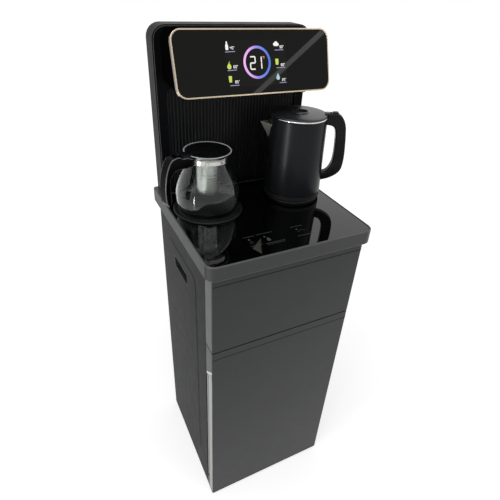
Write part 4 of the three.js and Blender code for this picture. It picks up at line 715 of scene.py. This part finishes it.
new_object("warming_ring", spun([
    (0, TOP_Z - 2), (60.7, TOP_Z - 2), (60.7, TOP_Z + 0.3, 0.2), (68.6, TOP_Z + 0.3, 0.2),
    (69, TOP_Z + 1.2, 0.3), (67.6, TOP_Z + 3, 0.5), (62.5, TOP_Z + 3, 0.3),
    (61.6, TOP_Z + 2.3, 0.3), (59.5, TOP_Z + 2.3, 0.3), (58.6, TOP_Z + 3, 0.3),
    (0, TOP_Z + 3),
], 0.3, 112, centre=JUG_AT), "plate", "cabinet", "warming_plate")
new_object("power_seat", spun([
    (12.3, TOP_Z - 3.6), (29.7, TOP_Z - 3.6), (29.7, TOP_Z + 0.3, 0.2), (56.6, TOP_Z + 0.3, 0.2),
    (57, TOP_Z + 1, 0.4), (57, TOP_Z + 3.6, 1.5), (55.2, TOP_Z + 5.5, 1.2),
    (42, TOP_Z + 5.5, 0.4), (41, TOP_Z + 4.9, 0.4), (14.5, TOP_Z + 4.9, 0.4),
    (13.4, TOP_Z + 5.5, 0.4), (12.3, TOP_Z + 5.5, 0.2),
], 0.3, 112, ring=True, centre=KETTLE_AT), "black", "cabinet", "power_base")

# ---------- kettle

KETTLE_RADIUS = 60.5  # of the body's foot
KETTLE_TALL = 160  # of the body
KETTLE_TAPER = 4.3  # by which the body is slimmer at its top
CROWN = 170.8  # top of the handle, from which its points are measured down
HOLD_OUT = 20.6  # from the body to the inside of the handle where it is held
GROOVES = 9  # finger grooves inside the handle
GROOVE_FROM, GROOVE_PITCH, GROOVE_WIDE, GROOVE_DEEP = 78, 5, 1.8, 1.1


def kettle_radius(z):
    """The outer radius of the body at a height."""
    return KETTLE_RADIUS - KETTLE_TAPER * z / KETTLE_TALL


def bowed(points):
    """Points of the handle: distance out from the body and drop below the crown."""
    return [(kettle_radius(CROWN - drop) + out, CROWN - drop) for out, drop in points]


new_object("kettle_foot", spun([
    (0, 8), (26, 8, 0.6), (26, 0, 0.6), (59, 0, 0.8), (60.5, 1.6, 1.2), (60.4, 9.9, 0.3), (0, 9.9),
], 0.3, 128), "black", "kettle", "kettle_base", place=KETTLE)

body = spun([
    (0, 10.4), (59.8, 10.4, 0.5), (kettle_radius(11.2), 11.2, 0.6), (kettle_radius(40), 40, 0),
    (kettle_radius(80), 80, 0), (kettle_radius(120), 120, 0), (56.2, KETTLE_TALL, 0.25),
    (54.6, KETTLE_TALL, 0.3), (58, 13.6, 2.5), (54, 12.6, 1), (0, 12.6),
], 0.3, 128)
mouth = bmesh.new()
for place in ((-46, 20.68, 147), (-46, -20.68, 147), (-72, 0, 147), (-46, 0, 117),
              (-54.6, 0, 117)):
    mouth.verts.new(place)
bmesh.ops.convex_hull(mouth, input=mouth.verts)
new_object("kettle_shell", carved(body, mouth), "kettle", "kettle", "kettle_body", place=KETTLE)

new_object("kettle_bead", spun([
    (54, 160.3, 0.2), (55.6, 160.3, 0.2), (55.6, 161.9, 0.2), (56.6, 161.9, 0.3),
    (57.2, 162.7, 0.6), (56.9, 163.9, 0.6), (56, 164.5, 0.4), (54, 164.5, 0.3),
], 0.3, 128, ring=True, steps=4), "chrome", "kettle", "kettle_rim", place=KETTLE)
new_object("kettle_hem", spun([
    (55.6, 159.9, 0), (56.3, 159.9, 0.2), (56.9, 160.6, 0.5), (56.9, 161.7, 0.3), (55.6, 161.8, 0),
], 0.3, 128, ring=True, steps=4), "kettle", "kettle", place=KETTLE)

# The lid, with its filling port, the lip round that and a half ring of steam slots.
PORT_AT = (5, 0)
cover = spun([
    (0, 164.3), (51, 164.3, 0.3), (51, 157.9, 0.3), (52.7, 157.9, 0.3), (52.7, 164.8, 0.3),
    (55.6, 164.8, 0.3), (55.8, 166.4, 0.5), (54.9, 167.5, 0.9), (49, 168.2, 1.5), (39.2, 168.7, 3),
    (19.4, 169.4, 0.8), (18, 171.2, 0.7), (0, 171.2),
], 0.3, 128)
port = turned([(0, 158), (10.5, 158), (10.5, 170.6), (11.2, 171.4), (11.2, 176), (0, 176)], 48,
              centre=PORT_AT)
slots = [
    moved(slab(12.6, 16, -0.9, 0.9, 169.8, 174, 0.8),
          Matrix.Rotation(math.pi / 2 + i * math.pi / 6, 4, "Z"))
    for i in range(7)
]
new_object("kettle_cover", carved(cover, port, *slots), "lid", "kettle_lid", "kettle_lid",
           place=KETTLE)
arm = moved(prism(eased([
    (50.8, 165.6), (57.2, 165.6), (58.4, 165.9, 1.5), (62, 168.2, 2.6), (59.6, 170.95, 2.6),
    (50.8, 170.4, 0.6),
], 0.5, True, 4), -6, 6, 0.35), LYING)
axle = moved(turned([(0, -8.4), (1.3, -8.4), (1.3, 8.4), (0, 8.4)], 20),
             Matrix.Translation((59.5, 0, 168.4)) @ LYING)
new_object("lid_hinge_arm", joined(arm, axle), "lid", "kettle_lid", place=KETTLE)
new_object("port_lip", spun([
    (10.6, 170.2), (11.9, 171, 0.3), (11.9, 171.6, 0.3), (10.6, 171.6, 0.3),
], 0.2, 64, ring=True, centre=PORT_AT), "black", "kettle_lid", place=KETTLE)

grip = bow(
    bowed([(-1, 2), (4, 0.8), (10.1, 0), (17.1, 0.2), (24, 2.6), (29.6, 7.2), (34.6, 15.3),
           (38, 25.8), (39.8, 38.8), (41.2, 52.8), (42.8, 78.8), (42.2, 100.8), (38.8, 115.8),
           (30, 126.3), (15.5, 134.8), (1, 139.4), (-1, 139.9)]),
    bowed([(-1, 22.9), (5, 23.6), (10.5, 25), (16, 29.8), (19.2, 40.8), (20.4, 58.8),
           (HOLD_OUT, 82.8), (18.8, 99.8), (13.6, 112.8), (8, 119), (2, 121.4), (-1, 122)]),
    10, 4.2,
)
grooves = []
for i in range(GROOVES):
    z = GROOVE_FROM + GROOVE_PITCH * i
    face = kettle_radius(z) + HOLD_OUT
    ring = slab(face - 8, face + 35, -15, 15, z, z + GROOVE_WIDE)
    core = slab(face + GROOVE_DEEP, face + 45, -8.9, 8.9, z - 1, z + GROOVE_WIDE + 1, 1.5)
    grooves.append(carved(ring, core))
around = turned([(0, 5), (kettle_radius(5) + 0.1, 5), (56.3, 160), (56.3, 160.2), (57.5, 160.2),
                 (57.5, 190), (0, 190)], 128)
notch = slab(50, 62.6, -6.5, 6.5, 162.8, 181)  # for the lid's arm
pocket = slab(65.2, 76.8, -5.8, 5.8, 164.8, 181, 2.5)  # for the lid's button
new_object("kettle_grip", carved(grip, around, notch, pocket, *grooves), "handle", "kettle",
           "kettle_handle", place=KETTLE, smooth=32)

# ---------- jug

GLASS_WALL = 2.2
LIP_FROM = 116.95  # the fire-polished lip lies above it
BELLY = [(53, 1.6), (60, 9), (62.9, 17), (63.5, 25), (62.6, 40), (56.6, 62), (48.5, 80),
         (41.7, 92), (38.5, 102)]
FLARE = [(38.5, 110.4), (40.7, 113.4), (44.6, 116.4)]
CLOSURE_TOWARDS = -112  # degrees, where the collar's closure looks
ROOT = 40.8  # radius where the handle meets the collar

belly = [(p.x, p.y) for p in curved(BELLY, 44)]
flare = [(p.x, p.y) for p in curved(FLARE, 7)]
outside = [(0, 0), (46.5, 0), (49, 0.3)] + belly + [(38.5, 106)] + flare
lip = [(45.1, 116.9), (45.2, 117.4), (44.9, 117.8), (44.3, 118), (43.6, 117.9), (43.1, 117.5),
       (42.9, 117)]
inside = ([(r - GLASS_WALL, z) for r, z in flare[-2::-1]] + [(36.3, 106)]
          + [(r - GLASS_WALL, z) for r, z in belly[::-1] if z > 8]
          + [(54, 4.4), (48, 3), (0, 3)])
bowl = new_object("jug_bowl", turned(outside + lip + inside, 128), "clear", "jug", "jug_glass",
                  place=JUG, smooth=50)
# The lip above LIP_FROM takes the pale half-clear glass, a painted highlight along the rim.
bowl.data.materials.append(M["clear_rim_painted_highlight"])
for polygon in bowl.data.polygons:
    if polygon.center.z > (JUG.translation.z + LIP_FROM * MM):
        polygon.material_index = 1

band = spun([
    (39.25, 99.8, 0.3), (40.1, 99.8, 0.3), (40.5, 100.6, 0.4), (40.25, 101.6, 0.4),
    (40.25, 108.4, 0.4), (40.5, 109.4, 0.4), (40.1, 110.2, 0.3), (39.25, 110.2, 0.3),
], 0.3, 128, ring=True)
closure = [slab(39.6, 43.2, side - 0.6, side + 0.6, 100.4, 109.6, 0.3, 0.25)
           for side in (-1.6, 1.6)]
bolt = moved(spun([
    (0, -3.4), (1.9, -3.4), (1.9, -2.2), (1.2, -2.2), (1.2, 2.2), (2.1, 2.2), (2.1, 3.4), (0, 3.4),
], 0.25, 24), Matrix.Translation((41.7, 0, 105)) @ LYING)
spin = Matrix.Rotation(math.radians(CLOSURE_TOWARDS - JUG_TURN), 4, "Z")
new_object("jug_collar", joined(band, *[moved(part, spin) for part in (*closure, bolt)]), "steel",
           "jug", "jug_band", place=JUG)

jug_grip = new_object("jug_grip", bow(
    [(ROOT + out, z) for out, z in [
        (-0.2, 112.3), (5, 113.2), (8.4, 115.4), (14, 116.9), (21, 117.2), (24, 119.2),
        (28, 121), (34.2, 121.3), (44.6, 117.8), (51.8, 107.5), (57.6, 91), (61.2, 66),
        (60.4, 42), (56.6, 34)]],
    [(ROOT + out, z) for out, z in [
        (-0.2, 96.6), (14, 96.4), (28.2, 97.8), (40.4, 95.4), (48.3, 84), (49.3, 67), (48, 44),
        (49.4, 34.4)]],
    10, 2.4, count=100, round_end=3.2, rims=True,
), "gloss", "jug", "jug_handle", place=JUG)
# The handle's rounded edges carry painted highlight lines.
jug_grip.data.materials.append(M["gloss_edge_painted_highlight"])


def perforated(radius, z0, z1, columns, rows, hole, thick):
    """A tube of thin sheet with rows of eight-sided holes."""
    bm = bmesh.new()
    pitch = (z1 - z0) / rows
    unit = 2 * math.pi * radius / columns

    def at(r, u, z):
        """A corner on the tube of radius r, u columns round it."""
        angle = 2 * math.pi * u / columns
        return bm.verts.new((r * math.cos(angle), r * math.sin(angle), z))

    shells = []
    for r in (radius, radius - thick):
        corners = [[at(r, i, z0 + pitch * j) for i in range(columns)] for j in range(rows + 1)]
        rims = []
        for j in range(rows):
            for i in range(columns):
                rim = []
                for k in range(8):
                    turn = math.radians(225 + 45 * k)
                    rim.append(at(r, i + 0.5 + hole * math.cos(turn) / unit,
                                  z0 + pitch * (j + 0.5) + hole * math.sin(turn)))
                square = [corners[j][i], corners[j][(i + 1) % columns],
                          corners[j + 1][(i + 1) % columns], corners[j + 1][i]]
                for k in range(4):
                    bm.faces.new([square[k], square[(k + 1) % 4], rim[(2 * k + 2) % 8],
                                  rim[2 * k + 1], rim[2 * k]])
                rims.append(rim)
        shells.append((corners, rims))
    for outer, inner in zip(shells[0][1], shells[1][1]):
        for k in range(8):
            bm.faces.new([outer[k], outer[(k + 1) % 8], inner[(k + 1) % 8], inner[k]])
    for row in (0, rows):
        skinned(bm, [shells[0][0][row], shells[1][0][row]])
    return bm


basket = spun([
    (0, 28.5), (13, 28.5, 4), (18.4, 30.9, 3), (21.2, 36.5, 4), (22, 44.5, 1), (22, 47, 0),
    (21.3, 47, 0), (21.3, 44.5, 1), (20.5, 36.9, 4), (17.9, 31.6, 3), (13, 29.2, 4), (0, 29.2),
], 0.3, 96)
flange = spun([
    (21.3, 106.5), (22, 106.5), (22, 113, 0.8), (38.2, 113.6, 0.2), (38.2, 114.6, 0.2),
    (21.9, 114.6, 0.8), (21.3, 113.8, 0.4),
], 0.2, 96, ring=True)
sieve = perforated(22, 47, 106.5, columns=72, rows=31, hole=0.42, thick=0.7)
new_object("strainer", joined(basket, flange, sieve), "mesh", "infuser", "infuser", place=JUG)

disc = spun([
    (0, 114.9), (38.5, 114.9, 0.3), (40, 115.7, 0.3), (40, 116.7, 0.3), (39.2, 117.2, 0.3),
    (37.2, 117.2, 0.3), (36.2, 116.4, 0.4), (0, 116),
], 0.3, 112)
neck = slab(24, 40.1, -7, 7, 116, 119.3, 1.5)
tongue = prism(eased([
    (20, -4), (24, -8), (58, -9), (62, -6), (62, 6), (58, 9), (24, 8), (20, 4),
], 3, True, 4), 118.3, 121.3, 0.9, 3)
pad = slab(47, 57, -5.5, 5.5, 121, 121.9, 2.5, 0.4)
new_object("jug_cover", joined(disc, neck, tongue, pad), "jug_lid", "infuser", "jug_lid",
           place=JUG)

# ---------- display marks

GLASS = -0.3  # front of the display glass in the face's frame
LIFT = 0.08  # thickness of a lit mark
DIGITS = {"0": "abcdef", "1": "bc", "2": "abged", "4": "fgbc", "5": "afgcd", "6": "afgedc",
          "8": "abcdefg", "9": "abcfgd"}
FIGURE_TALL, FIGURE_PITCH = 3.9, 3.4


def marks(name, outlines, material, low=GLASS, high=GLASS + LIFT, place=FACE):
    """Flat printed or lit figures, as thin raised outlines."""
    return new_object(name, joined(*[prism(line, low, high) for line in outlines]), material,
                      "cabinet", place=place)


def bar(a, b, width):
    """A straight stroke with round ends."""
    a, b = Vector(a), Vector(b)
    along = math.atan2(b.y - a.y, b.x - a.x)
    points = []
    for end, start in ((b, -90), (a, 90)):
        for k in range(7):
            angle = along + math.radians(start + 30 * k)
            points.append((end.x + width / 2 * math.cos(angle),
                           end.y + width / 2 * math.sin(angle)))
    return points


def round_box(x, y, w, h, corner):
    return eased(corners_of(x - w / 2, x + w / 2, y - h / 2, y + h / 2), corner, True, 4)


def oval(x, y, rx, ry, count=24):
    angles = [2 * math.pi * k / count for k in range(count)]
    return [(x + rx * math.cos(a), y + ry * math.sin(a)) for a in angles]


def drop(x, y, r, tall):
    """A drop: a round foot drawn up to a point."""
    angles = [math.radians(a) for a in range(-200, 21, 20)]
    points = [(x + r * math.cos(a), y + r * math.sin(a)) for a in angles]
    return points + [(x + r * 0.35, y + r + tall * 0.45), (x, y + r + tall),
                     (x - r * 0.35, y + r + tall * 0.45)]


def digit(x, y, w, h, number, width):
    """A digit of straight strokes, its middle at x and y. Stroke a is the top one, b to f follow
    it clockwise, and g is the middle one."""
    r, t, g = w / 2, h / 2, width * 0.55
    strokes = {
        "a": ((-r + g, t), (r - g, t)), "b": ((r, t - g), (r, g)), "c": ((r, -g), (r, -t + g)),
        "d": ((r - g, -t), (-r + g, -t)), "e": ((-r, -t + g), (-r, -g)),
        "f": ((-r, g), (-r, t - g)), "g": ((-r + g, 0), (r - g, 0)),
    }
    return [bar((x + p[0], y + p[1]), (x + q[0], y + q[1]), width)
            for p, q in (strokes[key] for key in DIGITS[number])]


def figures(x, y, text):
    """A small temperature, its lower left corner at x and y."""
    out = []
    for i, number in enumerate(text):
        out += digit(x + 1.3 + FIGURE_PITCH * i, y + FIGURE_TALL / 2, 2.1, FIGURE_TALL, number, 0.8)
    out.append(oval(x + FIGURE_PITCH * len(text) + 0.7, y + FIGURE_TALL - 0.3, 0.75, 0.75, 10))
    return out


marks("display_window", [round_box(0, 51.4, 116, 74, 3)], "window", high=GLASS + 0.03)
ring_shape = spun([(22.4, GLASS), (26.6, GLASS), (26.6, GLASS + LIFT), (22.4, GLASS + LIFT)],
                  0, 96, ring=True, centre=(0, 52.7))
new_object("display_ring", ring_shape, "lit_ring", "cabinet", place=FACE)
marks("display_digits", digit(-8.6, 52, 9.4, 20, "2", 2.1) + digit(3.6, 52, 9.4, 20, "1", 2.1),
      "lit_white")
marks("display_degree",
      [bar((11.4, 61.6), (14.2, 61.6), 1.5), bar((14.2, 61.6), (13.6, 58.8), 1.3)], "lit_red")

bottle = [(-57.6, 73.4), (-52.4, 73.4), (-52.4, 80.5), (-53.8, 83), (-53.8, 86.6),
          (-56.2, 86.6), (-56.2, 83), (-57.6, 80.5)]
cloud = [oval(36.6, 80.9, 2.9, 2.4), oval(39.4, 82.4, 3.5, 3.1), oval(42.4, 80.7, 2.8, 2.4),
         round_box(39.5, 79.2, 7.6, 2.4, 1.1)]
pear = [drop(-53.8, 47.2, 3.9, 2.4), bar((-53.8, 53.2), (-52.6, 55.4), 0.9)]
cup_left = eased([(-56.4, 22.6), (-51.4, 22.6), (-50.8, 32.8), (-57, 32.8)], 0.9, True)
cup_right = eased([(36.6, 47.6), (42, 47.6), (42.6, 57.6), (36, 57.6)], 1.6, True)
marks("display_icons_white", [eased(bottle, 1, True)] + cloud, "lit_white")
marks("display_icons_lime", pear + [cup_left, cup_right], "lit_lime")
marks("display_icons_ice", [drop(39.6, 26, 3.6, 4.4)], "lit_ice")
readings = [(-49.4, 74.6, "45"), (-46, 45.2, "60"), (-45.4, 21, "85"), (46.4, 74.6, "90"),
            (47, 45.4, "80"), (47.4, 20.6, "25")]
marks("display_figures", [line for reading in readings for line in figures(*reading)], "lit_white")
lines = [((-58.4, 70.4), (-41, 71)), ((-57.4, 41.4), (-40.6, 42)),
         ((-54.6, 17.4), (-38.4, 17.6)), ((36.6, 71.6), (53.4, 71.8)),
         ((38, 42.6), (55, 43)), ((42.6, 17.6), (56, 17.8))]
marks("display_lines", [bar(a, b, 1.1) for a, b in lines], "lit_violet")

# ---------- touch marks on the worktop

CAPTION_STROKE = 1.3


def printed(name, x, outlines):
    """Marks printed on the worktop glass, their own frame at x."""
    return marks(name, outlines, "print", 0, 0.05, spot(x, 1, TOP_Z))


def dashes(x0, x1, y, count):
    """A row of short strokes, the generic caption of a touch mark."""
    out = []
    for k in range(count):
        a, b = (k + 0.15) / count, (k + 0.45 + 0.2 * (k % 2)) / count
        out.append(bar((x0 + (x1 - x0) * a, y), (x0 + (x1 - x0) * b, y), CAPTION_STROKE))
    return out


def arc_mark(x, y, r, start, end, width):
    """An arc of short strokes that read as one line."""
    steps = max(int(abs(end - start) / 12), 2)
    angles = [math.radians(start + (end - start) * k / steps) for k in range(steps + 1)]
    points = [(x + r * math.cos(a), y + r * math.sin(a)) for a in angles]
    return [bar(a, b, width) for a, b in zip(points, points[1:])]


printed("touch_marks_left", 14, dashes(-92, -69, -98, 9) + [oval(-84, -107.4, 2.1, 2.1)]
        + arc_mark(-83, -118, 4.4, 20, 320, 1.3) + [bar((-83, -118), (-83, -112), 1.3)]
        + dashes(-91, -66, -128, 10))
printed("touch_marks_middle", 9, dashes(-60, -26, -97, 13) + [oval(-48, -107.6, 2.1, 2.1)]
        + [drop(-44.5, -119.5, 3.9, 5)] + dashes(-56, -16, -129.5, 15)
        + dashes(-54, -18, -133.5, 13))
printed("touch_marks_right", 18, dashes(4, 30, -97, 10) + [oval(12, -106.6, 1.8, 1.8)]
        + arc_mark(19, -119, 8, 35, 150, 1.5) + dashes(2, 36, -129, 13))

# ---------- fixings seen from behind

SCREW_RADIUS, SCREW_DOME = 3.4, 1.5
REAR_FACE = 158.4  # of the rear panel
SCREWS_AT = [(-148, 24), (0, 24), (148, 24), (-148, 270), (148, 270), (-148, 520), (148, 520),
             (-148, 700), (148, 700)]


def screw(x, z, turn):
    """A low domed screw head with a cross recess, on the rear panel."""
    r, dome = SCREW_RADIUS, SCREW_DOME
    head = spun([
        (0, -0.4), (r, -0.4), (r, 0.3, 0.3), (r * 0.72, dome * 0.8, 1), (0, dome),
    ], 0.2, 24)
    arm = r * 0.62
    wide = r * 0.14
    cross = [slab(-arm, arm, -wide, wide, dome - 1, dome + 1),
             slab(-wide, wide, -arm, arm, dome - 1, dome + 1)]
    place = Matrix.Translation((x, REAR_FACE, z)) @ OUT_REAR
    return moved(carved(head, *cross), place @ Matrix.Rotation(math.radians(turn), 4, "Z"))


rear_screws = [screw(x, z, 20 * k) for k, (x, z) in enumerate(SCREWS_AT)]
new_object("rear_panel_screws", joined(*rear_screws), "screw", "cabinet")

# ---------- stage and light

WORLD_FILL = 0.42  # strength of the white world where it lights, and not where it is seen
FLOOR_FADE = (0.4, 2.6)  # distances in metres over which the floor's own light changes
FLOOR_LIGHT = (0.56, 0.74)  # from and to, as the camera sees it
CEILING_LAMPS = [(-0.9, 0.1, 2.7), (0.3, -0.9, 2.7), (-1.2, -1, 2.5)]


def pale_floor():
    """A floor that holds the shadow, and that the camera sees turn to white further out."""
    n = node_material("floor_pale")
    away = n.add("ShaderNodeVectorMath", {0: n.place()}, operation="LENGTH").outputs["Value"]
    strength = n.combine("MULTIPLY", n.seen(), n.spread(away, *FLOOR_FADE, *FLOOR_LIGHT))
    diffuse = n.add("ShaderNodeBsdfDiffuse", {"Color": (0.8, 0.8, 0.8, 1)})
    light = n.add("ShaderNodeEmission", {"Color": (1, 1, 1, 1), "Strength": strength})
    both = n.add("ShaderNodeAddShader", {0: diffuse.outputs[0], 1: light.outputs[0]})
    mesh = bpy.data.meshes.new("floor")
    mesh.from_pydata([(-8, -8, 0), (8, -8, 0), (8, 8, 0), (-8, 8, 0)], [], [(0, 1, 2, 3)])
    mesh.materials.append(n.shown(both))
    made = linked("floor", mesh)


def area_light(name, place, target, size, power, size_y=None):
    """A lamp of size by size_y metres that looks at target; it's square without size_y."""
    light = bpy.data.lights.new(name, "AREA")
    light.energy = power
    light.size = size
    light.shape = "RECTANGLE"
    light.size_y = size_y or size
    made = linked(name, light)
    made.location = place
    made.rotation_euler = (Vector(target) - Vector(place)).to_track_quat("-Z", "Y").to_euler()
    # Rays that have passed the jug's glass find a lamp only by chance, which would show as grain.
    made.visible_transmission = False
    return made


pale_floor()

world = bpy.data.worlds.new("studio")
bpy.context.scene.world = world
sky = Nodes(world, "ShaderNodeOutputWorld")
sky.shown(sky.add("ShaderNodeBackground", {
    "Color": (1, 1, 1, 1), "Strength": sky.spread(sky.seen(), 0, 1, WORLD_FILL, 1),
}))

area_light("overhead", (-0.6, -0.9, 2.9), (0, 0, 0.7), 1.6, 15)
for k, place in enumerate(CEILING_LAMPS, 1):
    area_light(f"ceiling_lamp_{k}", place, (-0.1, 0, 0.8), 0.2, 1.6)
area_light("left_window", (-1.8, -0.66, 0.4), (0.1, 0.03, 0.85), 0.16, 10, 0.76)
area_light("right_fill", (2.2, -0.3, 1.5), (0, 0, 0.5), 1, 1.3, 1.6)

# A lamp tube whose mirror image crosses the display from its foot to its upper right corner.
TUBE_ALONG = Vector((0.433, 0.31, 0.267)).normalized()
TUBE_FACES = Vector((0.066, 0.032, 1.013))
tube = area_light("lamp_tube", (1.308, -1.814, 1.913), (0, 0, 0.95), 1.1, 0.5, 0.034)
facing = (tube.location - TUBE_FACES).normalized()
beam = (TUBE_ALONG - facing * TUBE_ALONG.dot(facing)).normalized()
tube.rotation_euler = Matrix((beam, facing.cross(beam), facing)).transposed().to_euler()

bpy.context.scene.view_settings.view_transform = "Standard"
